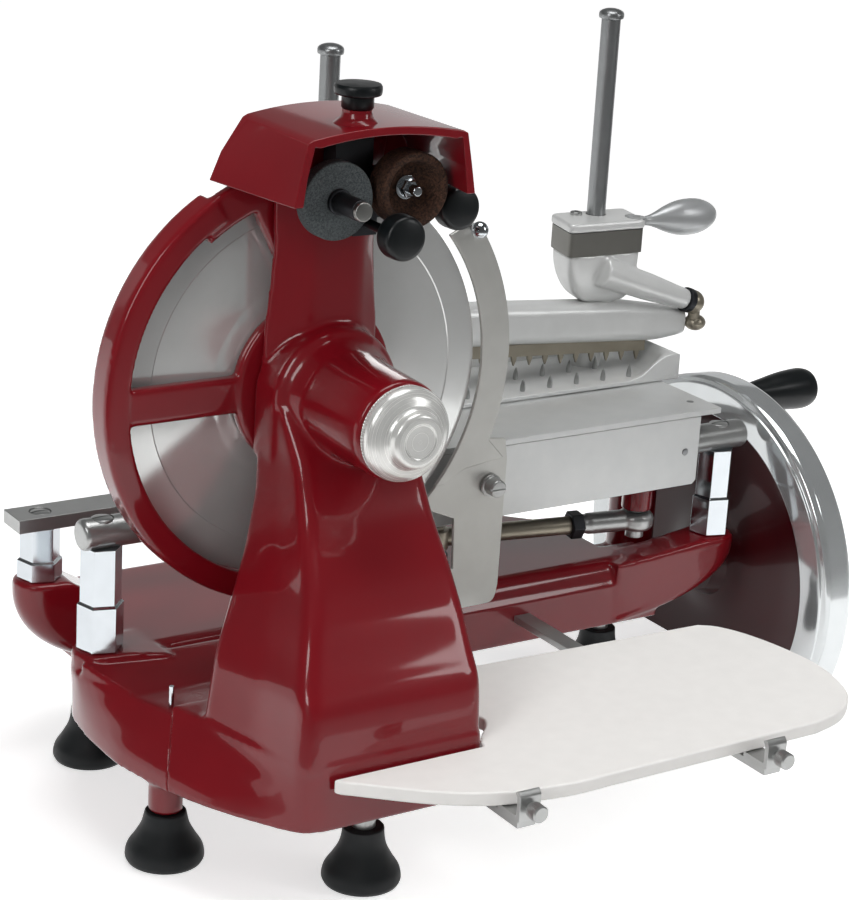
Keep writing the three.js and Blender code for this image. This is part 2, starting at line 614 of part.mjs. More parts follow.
function rodEnd() {
  const eye = turned('z', [0, 0, 0], [[6, ROD_Z - 8], [13, ROD_Z - 8], [16, ROD_Z - 4], [16, ROD_Z + 4],
    [13, ROD_Z + 8], [6, ROD_Z + 8], [6, ROD_Z - 8]], 22);
  const shank = turned('x', [0, 0, ROD_Z], [[0, 12], [9.5, 12], [9.5, 47], [8.6, 50], [8.6, 54],
    [0, 54]], 16);
  return toCrank(cut(join(eye, shank), rod('z', [0, 0, 0], 6, ROD_Z - 9, ROD_Z + 9, 22),
    rod('x', [0, 0, ROD_Z], 8 + GAP, 39.7, 60, 20)));
}

function jamNut() {
  return toCrank(cut(hexagon('x', [0, 0, ROD_Z], 22, 54.3, 66), rod('x', [0, 0, ROD_Z],
    8 + GAP, 50, 70, 20)));
}

function pivotBolt() {
  return turned('z', [LUG_PIN.x, LUG_PIN.y, 0], [[0, 136.5], [7.5, 136.5], [8, 138], [8, ROD_Z - 8.6],
    [5, ROD_Z - 8.6], [5, ROD_Z + 8.6], [8.6, ROD_Z + 8.6], [8.6, 163 - GAP], [5, 163 - GAP], [5, 194],
    [0, 194]], 16);
}

// meat table

function meatTable() {
  const [x0, x1] = [180, 600];
  const floor = raised(rounded([[x0, 58, 3], [x1, 58, 4], [x1, 236, 14], [x0, 236, 14]], 3), 259, TABLE_Z);
  const endProfile = [[548, 259.5], [x1 + 1, 259.5], [x1 + 1, 281], [597, 283], [585, 282], [572, 276],
    [560, 267.5], [548, 263.5]];
  const scoop = [[540, 263.3], [577, 263.3], [588, 266.5], [592, 273], [594, 279], [596, 290], [540, 290]];
  const end = cut(along(endProfile, 59, 150), along(scoop, 68, 151));
  const fence = box(x0, x1, 148, 153, 261, 296);
  const nut = box(FEED.x - 16, FEED.x + 16, 152, 172, FEED.z + 6, 261);
  const seat = (x) => rod('z', [x, UPRIGHT.y, 0], UPRIGHT.r + GAP, 240, 400);
  const collar = (x) => rod('z', [x, UPRIGHT.y, 0], 14, 261, 280);
  const table = join(floor, end, fence, nut, collar(UPRIGHT.x), collar(UPRIGHT.left), spikes());
  return cut(table, seat(UPRIGHT.x), seat(UPRIGHT.left));
}

function spikes() {
  const list = [];
  for (const [x, y] of [[553, 70], [538.5, 102]]) {
    for (let i = 0; i < 11; i += 1) {
      const cone = new THREE.ConeGeometry(2.2, 12, 4).rotateX(Math.PI / 2);
      list.push(cone.translate(x - i * 29, y, TABLE_Z + 5.6));
    }
  }
  return join(...list);
}

function upright(x, top) {
  const r = UPRIGHT.r;
  return turned('z', [x, UPRIGHT.y, 0], [[0, 259.2], [r, 259.2], [r, top - 9], [r + 2.6, top - 8],
    [r + 2.6, top - 4], [r + 1, top - 1], [0, top]], 20);
}

function feedScrew() {
  return turned('y', [FEED.x, 0, FEED.z], [[0, 31], [5, 31], [5, 246], [0, 246]], 16);
}

function feedKnob() {
  const knob = turned('y', [FEED.x, 0, FEED.z], [[0, 237], [9, 237], [10, 242], [17, 245], [18, 248],
    [18, 259],
    [16, 262], [0, 262]], 18);
  return cut(knob, rod('y', [FEED.x, 0, FEED.z], 5 + GAP, 230, 246.3));
}

// meat pusher

function pusherHead() {
  const plate = loft([headPlan(1, HEAD_Z - 8), headPlan(1, HEAD_Z - 1.5), headPlan(0.97, HEAD_Z)]);
  const bowl = loft([headPlan(0.4, 324, 9), headPlan(0.52, 328, 8), headPlan(0.74, 339, 5),
    headPlan(0.88, 352, 2), headPlan(0.94, HEAD_Z - 30)]);
  const core = loft([headPlan(0.84, HEAD_Z - 34), headPlan(0.84, HEAD_Z - 6)]);
  const { x, y, z } = ARM_END;
  const pivot = [LEVER.x, LEVER.y, 0];
  const body = cut(join(plate, core, bowl, pusherArm()),
    rod('z', [UPRIGHT.x, UPRIGHT.y, 0], UPRIGHT.r + RUN, 280, 420, 24),
    ball(x, y, z, 11 + GAP), rod('z', pivot, 9.2, LEVER.z - GAP, HEAD_Z + 2, 28));
  return join(body, rod('z', pivot, 3, LEVER.z - 3, HEAD_Z, 16));
}

function pusherBand() {
  return cut(loft([headPlan(0.97, HEAD_Z - 29.6), headPlan(0.97, HEAD_Z - 8.4)]),
    loft([headPlan(0.85, HEAD_Z - 32), headPlan(0.85, HEAD_Z - 6)]));
}

function headPlan(s, z, shift = 0) {
  const block = [[-45, -21], [35, -26], [44, 21], [-35, 25]];
  const [cx, cy] = [UPRIGHT.x - 4 + shift, UPRIGHT.y - 9];
  return rounded(block.map(([x, y]) => [cx + x * s, cy + y * s, 6 * s]), 3).map(([x, y]) => [x, y, z]);
}

const ARM_START = new THREE.Vector3(527, 90, 358);
const ARM_END = new THREE.Vector3(637, 92, 318.5);

function pusherArm(grow = 0) {
  const direction = ARM_END.clone().sub(ARM_START);
  const length = direction.length();
  const g = turned('y', [0, 0, 0], [[0, 0], [13.5 + grow, 0], [9.8 + grow, length - 20],
    [9 + grow, length - 10], [11.5 + grow, length - 9], [11.5 + grow, length - 3], [0, length - 3]], 16);
  const turn = new THREE.Quaternion().setFromUnitVectors(new THREE.Vector3(0, 1, 0), direction.normalize());
  return g.applyQuaternion(turn).translate(ARM_START.x, ARM_START.y, ARM_START.z);
}

function ball(x, y, z, r, squash = 1) {
  const profile = arc(0, 0, r, -90, 90, 7).map(([c, s]) => [c, s * squash]);
  return turned('z', [x, y, z], profile, 16);
}

function armJoint() {
  const { x, y, z } = ARM_END;
  return join(ball(x, y, z, 11), ball(x + 5.8, y + 1, z - 20.2, 10, 0.75),
    rod('z', [x + 3, y, 0], 5.5, z - 20, z - 4, 14));
}

function toothedBar() {
  const y = 104;
  const section = (x, w, low, high) => {
    const mid = (low + high) / 2;
    return arc(0, 0, 1, 0, 330, 11).map(([c, s]) => [x, y + Math.sign(c) * Math.abs(c) ** 0.7 * w,
      mid + Math.sign(s) * Math.abs(s) ** 0.7 * (high - low) / 2]);
  };
  const rings = [section(273, 15, 303, 343.5), section(420, 17, 299, 335.5), section(560, 17, 288, 324.5),
    section(598, 16, 285, 317.5), section(618, 13, 286, 313.5), section(632, 11, 287, 310.5),
    section(640, 9, 290, 307)];
  const { x, z } = ARM_END;
  return cut(join(loft(rings), toothStrip(y)), pusherArm(1), ball(x, ARM_END.y, z, 12.5),
    rod('z', [x + 5.8, ARM_END.y + 1, 0], 11, z - 40, z - 6), box(514, 572, 80, 140, 323.7, 350),
    ...[UPRIGHT.x, UPRIGHT.left].map((u) => rod('z', [u, UPRIGHT.y, 0], UPRIGHT.r + RUN, 270, 360, 20)));
}

// thin strip under the bar, with pointed teeth
function toothStrip(y) {
  const [x0, x1, pitch] = [290, 588, 17];
  const low = (x) => 296.3 - 0.0647 * (x - x0);
  const points = [[x0, low(x0)]];
  for (let x = x0 + 18; x < x1; x += pitch) {
    points.push([x - 3.2, low(x - 3.2)], [x, low(x) - 8.6], [x + 3.2, low(x + 3.2)]);
  }
  points.push([x1, low(x1)], [x1, 300], [x0, 318]);
  return along(points, y - 9.4, y - 5.8);
}

function leftCollar() {
  const x = UPRIGHT.left;
  const body = join(rod('z', [x, UPRIGHT.y, 0], 15, 306, 350, 24), box(x, x + 12.7, 94, 116, 312, 342));
  return cut(body, rod('z', [x, UPRIGHT.y, 0], UPRIGHT.r + RUN, 280, 420, 24));
}

// flat eye let into the head, a thin neck and a thick teardrop, lying along +X
function wingLever() {
  const { x, y, z } = LEVER;
  const path = [[7.5, 4.6], [15, 5.2], [23, 8], [33, 12], [45, 15.5], [57, 16.6], [69, 15.8], [79, 12.5],
    [86, 8], [90, 2.5]];
  const drop = turned('x', [0, 0, 0], [[0, 7.5], ...path.map(([t, k]) => [k, t]), [0, 90]], 20)
    .scale(1, 0.85, 1).translate(x, y, z);
  const eye = rod('z', [x, y, 0], 8.6, z, HEAD_Z, 28);
  return cut(join(drop, eye), rod('z', [x, y, 0], 3 + GAP, z - 8, HEAD_Z + 2, 16));
}

// sharpener

// slanting sides, wider at the rear, up to a shoulder, and a low crown between the shoulders
function hood() {
  const { x: hx, z0, z1, crown, y0, y1 } = HOOD;
  const level = (y, grow) => {
    const t = (y - y0) / (y1 - y0);
    const [low, top] = [between(76, 90, t) + grow, between(67, 64, t) + grow];
    const arch = Array.from({ length: 11 }, (_, i) => {
      const u = i / 5 - 1;
      return [hx - u * (top - 4), z1 + (crown - z1) * (1 - u * u) + grow];
    });
    return [[hx + low, z0], [hx + top, z1 - 2 + grow * 0.5], ...arch,
      [hx - top, z1 - 2 + grow * 0.5], [hx - low, z0]].map(([x, z]) => [x, y, z]);
  };
  const shell = loft([level(y0, 0), level(y1, 0)].map((r) => r.reverse()));
  const room = loft([level(y0 - 4, -6), level(y1 - 6, -6)].map((r) => r.reverse()
    .map(([x, y, z]) => [x, y, z < z0 + 1 ? z - 9 : z])));
  const { x: kx, y: ky } = HOOD_KNOB;
  const boss = turned('z', [kx, ky, 0], [[0, crown - 5], [16, crown - 5], [16, crown], [12.5, crown + 3],
    [11, crown + 9.2], [0, crown + 9.2]], 28);
  const lip = box(78, 112, y1 - 14, y1 + 2, z0 - 12, z0 + 12);
  return cut(join(shell, boss), room, rod('z', [kx, ky, 0], 6 + GAP, 540, 590, 16), lip);
}

function hoodKnob() {
  const { x, y, r, top } = HOOD_KNOB;
  const seat = HOOD.crown + 9.6;
  return turned('z', [x, y, 0], [[0, HOOD.crown - 5.4], [6, HOOD.crown - 5.4], [6, seat], [11.8, seat],
    [11.8, top - 9.5], [r - 1.5, top - 9], [r, top - 7], [r, top - 2], [r - 2, top], [0, top]], 24);
}

function sharpenerBracket() {
  const { x } = HOOD;
  const bridge = box(x - 16, x + 16, -96, -66, 533, 548.2);
  const plate = box(112, 206, -101, -86, 478, 514);
  const tab = box(150, 170, -101, -86, 465, 480);
  const riser = box(x - 16, x + 16, -101, -84, 510, 548.2);
  const ear = box(197, 244, -88, -71, 472, 494);
  const holes = [GREY, BROWN].map(([u, w]) => rod('y', [u, 0, w], 6 + RUN, -110, -80))
    .concat(KNOBS.map(([u, , w]) => rod('y', [u, 0, w], 3.5 + RUN, -110, -60, 12)));
  return cut(join(bridge, plate, tab, riser, ear), ...holes);
}

function greyWheel() {
  return turned('y', [GREY[0], 0, GREY[1]], [[0, -160], [7.6, -160], [7.6, -128], [9.4, -128], [9.4, -124.5],
    [28.3, -124.5], [29, -123.5], [29, -113], [6, -113], [6, -88], [0, -88]], 28);
}

function brownWheel() {
  return turned('y', [BROWN[0], 0, BROWN[1]], [[0, -134], [4, -134], [4, -115], [18, -115], [23, -130],
    [28.5, -130], [28.5, -109], [6, -109], [6, -88], [0, -88]], 28);
}

function pushKnob(x, y, z, end) {
  return turned('y', [x, 0, z], [[0, y - 13], [13, y - 13], [16, y - 10.5], [16.8, y - 8], [16.8, y + 2],
    [14, y + 6], [8, y + 9], [3.5, y + 11], [3.5, end], [0, end]], 20);
}

// receiving board

function receivingBoard() {
  const tower = [[195.6, -241], [203, -232], [214, -221], [219, -211], [216, -202], [207, -198],
    [195.6, -197]];
  const edge = [[63, -251], [192, -251], [195.6, -249], ...tower, [195.6, -120], [489, -131],
    [502, -141], [514, -163], [523, -197], [527, -236], [522, -268], [512, -293], [498, -309],
    [478, -321], [452, -328],
    [256, -331], [212, -331], [160, -321], [118, -299], [66, -256]];
  return raised(edge.reverse(), BOARD.z - BOARD.t, BOARD.z);
}

// hooked bracket at the front edge with its thumb screw
function clip(x, y) {
  const low = BOARD.z - BOARD.t - 4.4;
  const hook = across([[y - 13, low], [y + 14, low], [y + 14, low + 4.1], [y - 9, low + 4.1],
    [y - 9, BOARD.z + 3],
    [y - 6.5, BOARD.z + 6], [y - 10, BOARD.z + 8], [y - 13, BOARD.z + 4]], x - 9, x + 9);
  const screw = turned('y', [x, 0, BOARD.z - 5], [[0, y - 27], [6, y - 27], [6.6, y - 26], [6.6, y - 17],
    [6, y - 16], [4, y - 15], [4, y - 12], [0, y - 12]], 20);
  return join(hook, screw);
}

// standing castings

add('base_casting', baseCasting(), paint);
add('bottom_cover', cut(box(46, 496, 14, 126, 52, SKIRT_Z - GAP), box(49, 493, 17, 123, 54.5, 80)),
  darkSteel);
add('tower_casting', towerCasting(), paint);
add('seam_pin', rod('z', [13, -96, 0], 2, SHELF_Z + GAP, 130, 12), steel);
add('ring_guard', ringGuard(), paint);
add('hub_cap', hubCap(), aluminium);
add('side_plate', sidePlate(), steel);
add('side_plate_bolt', plateBolt(), steel);
add('side_plate_ball', plateBall(), chrome);

const FEET = [['rear_left', 25, 66], ['front_left', ...SLEEVE_FOOT], ['tower', ...TOWER_FOOT],
  ['right', 508, 27]];
for (const [name, x, y] of FEET) {
  const sleeve = name === 'front_left';
  add(`foot_${name}`, sleeve ? foot(x, y, 41) : foot(x, y, FOOT_H, SKIRT_Z - GAP), rubber);
}

POST_X.forEach((x, i) => {
  const side = ['left', 'right'][i];
  const roundTop = RAIL_Z + RAIL_R;
  const lugTop = i ? LUG_Z.frontRight : LUG_Z.front;
  add(`post_front_${side}`, post(x, 0, lugTop, RAIL_Z - RAIL_R, 166 + 2 * i, roundTop - 0.4), chrome);
  add(`post_rear_${side}`, post(x, REAR_Y, LUG_Z.rear, FLAT_RAIL.z0, 163, FLAT_RAIL.z1 - 0.4), chrome);
});
add('rail_round', roundRail(), steel);
add('rail_flat', flatRail(), steel);

// receiving board

add('receiving_board', receivingBoard(), boardWhite);
for (const [side, x, y, root] of [['left', 171, -329, -250.8], ['right', 389, -340, -18.4]]) {
  const under = BOARD.z - BOARD.t - 4.4 - GAP;
  add(`board_arm_${side}`, box(x - 8, x + 8, y - 10, root, under - 6, under), steel);
  add(`board_clip_${side}`, clip(x, y), steel);
}

// hand wheel and drive

add('flywheel_rim', flywheelRim(), chrome);
add('flywheel_web', flywheelWeb(), paint);
add('flywheel_shaft', flywheelShaft(), steel);
add('handle_spindle', handleSpindle(), chrome);
add('handle_grip', handleGrip(), blackPlastic);
add('crank', crankShaft(), darkSteel);
add('cross_shaft', crossShaft(), darkSteel);
add('drive_chain', chainLoop(), darkSteel);
add('blade_shaft', bladeShaft(), steel);
add('blade', blade(), chrome);

// carriage and its rod

add('carriage_body', carriageBody(), darkSteel);
add('carriage_front_plate', frontPlate(), aluminium);
add('carriage_top_plate', box(204, 583.3, -25.5, 62, 253, 258.2), aluminium);
add('rod_pivot_bolt', pivotBolt(), darkSteel);
add('connecting_rod', connectingRod(), darkSteel);
add('rod_end', rodEnd(), chrome);
add('rod_jam_nut', jamNut(), darkSteel);

// meat table and pusher

add('meat_table', meatTable(), aluminium);
add('upright_right', upright(UPRIGHT.x, UPRIGHT.top), steel);
add('upright_left', upright(UPRIGHT.left, UPRIGHT.leftTop), steel);
add('feed_screw', feedScrew(), steel);
add('feed_knob', feedKnob(), blackPlastic);
add('pusher_head', pusherHead(), aluminium);
add('pusher_band', pusherBand(), steel);
add('pusher_joint', armJoint(), darkSteel);
add('toothed_bar', toothedBar(), aluminium);
add('guide_collar', leftCollar(), aluminium);
add('wing_lever', wingLever(), aluminium);

// blade sharpener

add('sharpener_hood', hood(), paint);
add('sharpener_knob', hoodKnob(), blackPlastic);
add('sharpener_bracket', sharpenerBracket(), darkSteel);
add('grinding_wheel_grey', greyWheel(), greyStone);
add('grinding_wheel_brown', brownWheel(), brownStone);
add('push_knob_left', pushKnob(...KNOBS[0], -91), blackPlastic);
add('push_knob_right', pushKnob(...KNOBS[1], -70.6), blackPlastic);

export default slicer;
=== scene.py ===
# Hand cranked flywheel slicer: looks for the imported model.
# Every length below is in millimetres, measured from the front left rail post at table height.
import math
import bpy
import numpy as np
from mathutils import Matrix


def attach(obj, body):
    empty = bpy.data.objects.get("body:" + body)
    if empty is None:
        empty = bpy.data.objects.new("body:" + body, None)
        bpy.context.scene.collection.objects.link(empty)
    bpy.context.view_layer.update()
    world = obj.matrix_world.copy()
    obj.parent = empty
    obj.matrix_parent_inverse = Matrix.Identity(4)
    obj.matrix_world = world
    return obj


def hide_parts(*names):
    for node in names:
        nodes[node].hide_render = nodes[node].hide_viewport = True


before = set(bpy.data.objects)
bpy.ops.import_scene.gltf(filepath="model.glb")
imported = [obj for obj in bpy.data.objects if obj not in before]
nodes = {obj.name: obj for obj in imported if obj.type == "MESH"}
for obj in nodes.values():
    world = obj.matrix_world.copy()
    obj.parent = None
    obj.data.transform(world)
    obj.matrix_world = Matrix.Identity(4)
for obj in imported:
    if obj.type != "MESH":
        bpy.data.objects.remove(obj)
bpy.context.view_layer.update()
scene = bpy.context.scene
zeroPoint = np.array([114.0, -214.0, 0.0])  # middle of the tower foot, the model's own zero


# small tools for shapes
def join(*columns):
    # numbers and arrays side by side, as the last axis of one array
    return np.stack(np.broadcast_arrays(*columns), axis=-1)


def outward(points, groups):
    # the sum of the cones from the zero point over every face is the volume; a negative one is turned
    volume = 0.0
    for g in groups:
        for j in range(1, g.shape[1] - 1):
            volume += np.einsum("ij,ij->", points[g[:, 0]], np.cross(points[g[:, j]], points[g[:, j + 1]]))
    return points, [g[:, ::-1] if volume < 0 else g for g in groups]


def gridQuads(rows, columns, closed=False):
    # neighbours in a grid whose columns run round; closed joins the last row to the first
    i, j = np.meshgrid(np.arange(rows if closed else rows - 1), np.arange(columns), indexing="ij")
    k, m = (i + 1) % rows, (j + 1) % columns
    return join(i * columns + j, i * columns + m, k * columns + m, k * columns + j).reshape(-1, 4)


def fans(rows, columns):
    # triangles from the two points after a grid to its first and to its last row
    i = np.arange(columns)
    j, low, last = (i + 1) % columns, rows * columns, (rows - 1) * columns
    return np.concatenate([join(low, j, i), join(low + 1, last + i, last + j)])


def loft(rings, flatEnds=False):
    # a skin over a stack of rings, closed by one face or by a fan from the middle at either end
    rings = np.asarray(rings, float)
    k, n = rings.shape[:2]
    points, i = np.concatenate([rings.reshape(-1, 3), rings[[0, -1]].mean(axis=1)]), np.arange(n)[None, :]
    if flatEnds:
        return outward(points[:k * n], [gridQuads(k, n), i[:, ::-1], i + (k - 1) * n])
    return outward(points, [gridQuads(k, n), fans(k, n)])


turned = {"x": [2, 0, 1], "y": [0, 2, 1], "z": [0, 1, 2]}  # where the three columns go for each axis


def plate(outline, axis, a, b):
    # a flat outline carried from a to b along one axis
    u, v = np.array(outline, float).T
    return loft([join(u, v, level)[:, turned[axis]] for level in (a, b)], True)


def block(x0, x1, y0, y1, z0, z1):
    return plate([[x0, y0], [x1, y0], [x1, y1], [x0, y1]], "z", z0, z1)


def lathe(axis, centre, profile, sides=64, ripple=None, start=0.0):
    # radius and place along the axis, carried round it; ripple adds to the radius by place and angle
    profile = np.asarray(profile, float)
    looped = profile[0, 0] > 1e-6
    rows = profile if looped else profile[1:-1]
    turn = np.linspace(0, 2 * np.pi, sides, endpoint=False) + math.radians(start)
    place = rows[:, 1:]
    radius = rows[:, :1] + (ripple(place, turn) if ripple else 0)
    points = join(radius * np.cos(turn), radius * np.sin(turn), place).reshape(-1, 3)
    groups = [gridQuads(len(rows), sides, looped)]
    if not looped:
        points = np.concatenate([points, [(0, 0, profile[0, 1]), (0, 0, profile[-1, 1])]])
        groups.append(fans(len(rows), sides))
    return outward(points[:, turned[axis]] + np.asarray(centre, float), groups)


def soften(corners, radius, steps=4, closed=True):
    # each corner becomes a short curve that leaves one side and meets the next at the given distance
    p = np.asarray(corners, float)
    before, after = np.roll(p, 1, axis=-2) - p, np.roll(p, -1, axis=-2) - p
    lengths = [np.maximum(np.linalg.norm(side, axis=-1), 1e-9) for side in (before, after)]
    reach = np.minimum(np.minimum(radius, 0.45 * lengths[0]), 0.45 * lengths[1])
    if not closed:
        reach[..., [0, -1]] = 0
    a = p + before * (reach / lengths[0])[..., None]
    b = p + after * (reach / lengths[1])[..., None]
    t = np.linspace(0, 1, steps + 1)[:, None]
    curve = (1 - t) ** 2 * a[..., None, :] + 2 * t * (1 - t) * p[..., None, :] + t ** 2 * b[..., None, :]
    curve = curve.reshape(*p.shape[:-2], -1, p.shape[-1])
    return curve if closed else curve[..., steps:-steps, :]


def rounded(axis, centre, profile, radius, sides=64, steps=3):
    # a turned body whose corners are all rounded by one distance
    return lathe(axis, centre, soften(profile, radius, steps, False), sides)


def cylinder(axis, centre, radius, low, high, sides=64, soft=0, steps=3):
    profile = [(0, low), (radius, low), (radius, high), (0, high)]
    return rounded(axis, centre, profile, soft, sides, steps) if soft else lathe(axis, centre, profile, sides)


def atHeights(flat, z, flatEnds=False):
    # plan outlines, one for each height, become a solid
    return loft(join(flat[..., 0], flat[..., 1], np.asarray(z, float)[:, None]), flatEnds)


def smoothLine(points, count):
    # a curve that passes through every point, with each span a cubic of its four nearest points
    p = np.asarray(points, float)
    p = np.concatenate([[2 * p[0] - p[1]], p, [2 * p[-1] - p[-2]]])
    s = np.linspace(0, len(p) - 3, count)
    i = np.minimum(s.astype(int), len(p) - 4)
    t = (s - i)[:, None]
    a, b, c, d = p[i], p[i + 1], p[i + 2], p[i + 3]
    square, cube = 2 * a - 5 * b + 4 * c - d, 3 * b - a - 3 * c + d
    return 0.5 * (2 * b + (c - a) * t + square * t ** 2 + cube * t ** 3)


def arc(cx, cy, radius, start, end, count):
    a = np.radians(np.linspace(start, end, count))
    return join(cx + radius * np.cos(a), cy + radius * np.sin(a))


def eased(table, key, width):
    # value between the rows of a table, averaged over a width so that it has no kinks
    k, v = np.array(table, float).T
    return np.mean([np.interp(key + shift, k, v) for shift in np.linspace(-width, width, 9)], axis=0)


def along(solid, start, end):
    # a solid drawn along +X from zero is turned and moved so that it runs from start towards end
    start, end = np.asarray(start, float), np.asarray(end, float)
    x = (end - start) / np.linalg.norm(end - start)
    y = np.cross([0, 0, 1], x)
    y /= np.linalg.norm(y)
    points, groups = solid
    return points @ np.stack([x, y, np.cross(x, y)]) + start, groups


def toMesh(name, solids):
    points = (np.concatenate([p for p, _ in solids]) - zeroPoint) / 1000
    shifts = np.cumsum([0] + [len(p) for p, _ in solids])
    groups = [g + shift for (_, gs), shift in zip(solids, shifts) for g in gs]
    sizes = np.concatenate([np.full(len(g), g.shape[1]) for g in groups])
    loops = np.concatenate([g.ravel() for g in groups])
    mesh = bpy.data.meshes.new(name)
    mesh.vertices.add(len(points))
    mesh.vertices.foreach_set("co", points.astype(np.float32).ravel())
    mesh.loops.add(len(loops))
    mesh.loops.foreach_set("vertex_index", loops.astype(np.int32))
    mesh.polygons.add(len(sizes))
    mesh.polygons.foreach_set("loop_start", (np.cumsum(sizes) - sizes).astype(np.int32))
    mesh.update(calc_edges=True)
    mesh.validate()
    return mesh


def baked(obj):
    mesh = bpy.data.meshes.new_from_object(obj.evaluated_get(bpy.context.evaluated_depsgraph_get()))
    bpy.data.objects.remove(obj)
    return mesh


def linked(name, data):
    obj = bpy.data.objects.new(name, data)
    scene.collection.objects.link(obj)
    return obj


def carved(obj, cutters, solver):
    tools = [linked("tool", toMesh("tool", [cutter])) for cutter in cutters]
    for tool in tools:
        cut = obj.modifiers.new("cut", "BOOLEAN")
        cut.operation, cut.solver, cut.object = "DIFFERENCE", solver, tool
    mesh = baked(obj)
    for tool in tools:
        bpy.data.objects.remove(tool)
    return mesh


def fused(solids, grain, passes, cutters=()):
    # overlapping solids become one skin of small squares, which is then relaxed into soft fillets
    obj = linked("work", toMesh("work", solids))
    skin = obj.modifiers.new("skin", "REMESH")
    skin.mode, skin.voxel_size = "VOXEL", grain / 1000
    relax = obj.modifiers.new("relax", "SMOOTH")
    relax.factor, relax.iterations = 0.5, passes
    return carved(obj, cutters, "MANIFOLD")


def cutOut(solids, cutters):
    return carved(linked("work", toMesh("work", solids)), cutters, "EXACT")


def piece(name, shape, material, body, stands=None, crease=34, bevel=0.0, slot=None):
    # shape is a mesh or a list of solids; stands names the CAD node that this piece is shown for
    mesh = shape if isinstance(shape, bpy.types.Mesh) else toMesh(name, shape)
    mesh.name = name
    mesh.shade_smooth()
    if crease < 180:
        mesh.set_sharp_from_angle(angle=math.radians(crease))
    obj = linked(name, mesh)
    mesh.materials.clear()
    mesh.materials.append(material)
    if bevel:
        edge = obj.modifiers.new("edges", "BEVEL")
        edge.width, edge.segments, edge.limit_method = bevel / 1000, 3, "ANGLE"
        edge.angle_limit, edge.harden_normals = math.radians(30), True
    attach(obj, body)
    if stands:
        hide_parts(stands)
    slot or slotOf[material.name]


def fromNode(name, node, material, body, bevel=0.6):
    # a merged copy of a CAD node, with its flat faces joined up and its edges broken
    obj = linked("work", nodes[node].data.copy())
    weld = obj.modifiers.new("weld", "WELD")
    weld.merge_threshold = 2e-5
    flat = obj.modifiers.new("flat", "DECIMATE")
    flat.decimate_type, flat.angle_limit = "DISSOLVE", math.radians(2)
    piece(name, baked(obj), material, body, node, 30, bevel)


# small tools for materials
def colour(hexText):
    # sRGB hex to linear red, green, blue and alpha
    v = np.array([int(hexText[i:i + 2], 16) / 255 for i in (1, 3, 5)])
    return (*np.where(v <= 0.04045, v / 12.92, ((v + 0.055) / 1.055) ** 2.4), 1.0)


def newMaterial(name, **sockets):
    material = bpy.data.materials.new(name)
    material.use_nodes = True
    shader = material.node_tree.nodes["Principled BSDF"]
    for key, value in sockets.items():
        shader.inputs[key.replace("_", " ")].default_value = value
    return material, shader


def addNode(material, kind, values=(), links=(), **settings):
    # one node with its settings, its socket values and its incoming links
    n = material.node_tree.nodes.new(kind)
    for key, value in settings.items():
        setattr(n, key, value)
    for key, value in values:
        n.inputs[key].default_value = value
    for key, source in links:
        material.node_tree.links.new(source, n.inputs[key])
    return n


def ramp(material, source, stops):
    n = addNode(material, "ShaderNodeValToRGB", links=[("Fac", source)])
    while len(n.color_ramp.elements) < len(stops):
        n.color_ramp.elements.new(0.5)
    for element, (place, value) in zip(n.color_ramp.elements, stops):
        element.position = place
        element.color = colour(value) if isinstance(value, str) else (value, value, value, 1)
    return n.outputs["Color"]


def perMm(size):
    # pattern scale that gives one cell each so many millimetres, as Object coordinates are in metres
    return 1000.0 / size


def place(material, scale=(1, 1, 1), centre=(0, 0, 0)):
    # Object coordinates, moved so that a point of the slicer is their zero, and then stretched
    here = addNode(material, "ShaderNodeTexCoord").outputs["Object"]
    moved = (np.array(centre, float) - zeroPoint) / 1000 if any(centre) else np.zeros(3)
    n = addNode(material, "ShaderNodeMapping", links=[("Vector", here)], vector_type="TEXTURE",
                values=[("Location", tuple(moved)), ("Scale", tuple(1 / s for s in scale))])
    return n.outputs["Vector"]


def noise(material, vector, size, detail=3.0, roughness=0.5):
    return addNode(material, "ShaderNodeTexNoise", links=[("Vector", vector)],
                   values=[("Scale", perMm(size)), ("Detail", detail),
                           ("Roughness", roughness)]).outputs["Fac"]


def feed(material, target, source):
    material.node_tree.links.new(source, target)


def bump(material, shader, height, depthMm, strength=1.0, sockets=("Normal",)):
    n = addNode(material, "ShaderNodeBump", links=[("Height", height)],
                values=[("Distance", depthMm / 1000), ("Strength", strength)])
    for socket in sockets:
        feed(material, shader.inputs[socket], n.outputs["Normal"])


def tint(material, shader, cloud, a, b):
    # the base colour drifts between two hex colours with the cloud
    feed(material, shader.inputs["Base Color"], ramp(material, cloud, [(0.0, a), (1.0, b)]))
    return cloud


def surface(material, shader, source, span, rough, height, depth):
    # the source drives the roughness between two values, and the height is pressed in where it has a depth
    feed(material, shader.inputs["Roughness"], ramp(material, source, list(zip(span, rough))))
    if depth:
        bump(material, shader, height, depth)
    return material


print("slicer: tools ready")

# materials
enamel = {"roughness": 0.30, "peel": 4.5, "peelDepth": 0.010}
cloudMm = {"enamel": 60, "metal": 18, "turned": 25, "plain": 14}  # size of the slow patches in each finish


def makeEnamel(name, tone, deep, coat=1.0):
    # stoved red enamel on cast iron: deep red under a clear hard gloss, with faint orange peel
    m, shader = newMaterial(name, Roughness=enamel["roughness"], Coat_Weight=coat,
                            Coat_Roughness=0.06, Coat_IOR=1.42, Specular_IOR_Level=0.15)
    tint(m, shader, noise(m, place(m), cloudMm["enamel"], 2), deep, tone)
    bump(m, shader, noise(m, place(m), enamel["peel"], 1), enamel["peelDepth"], 0.6,
         ("Normal", "Coat Normal"))
    return m


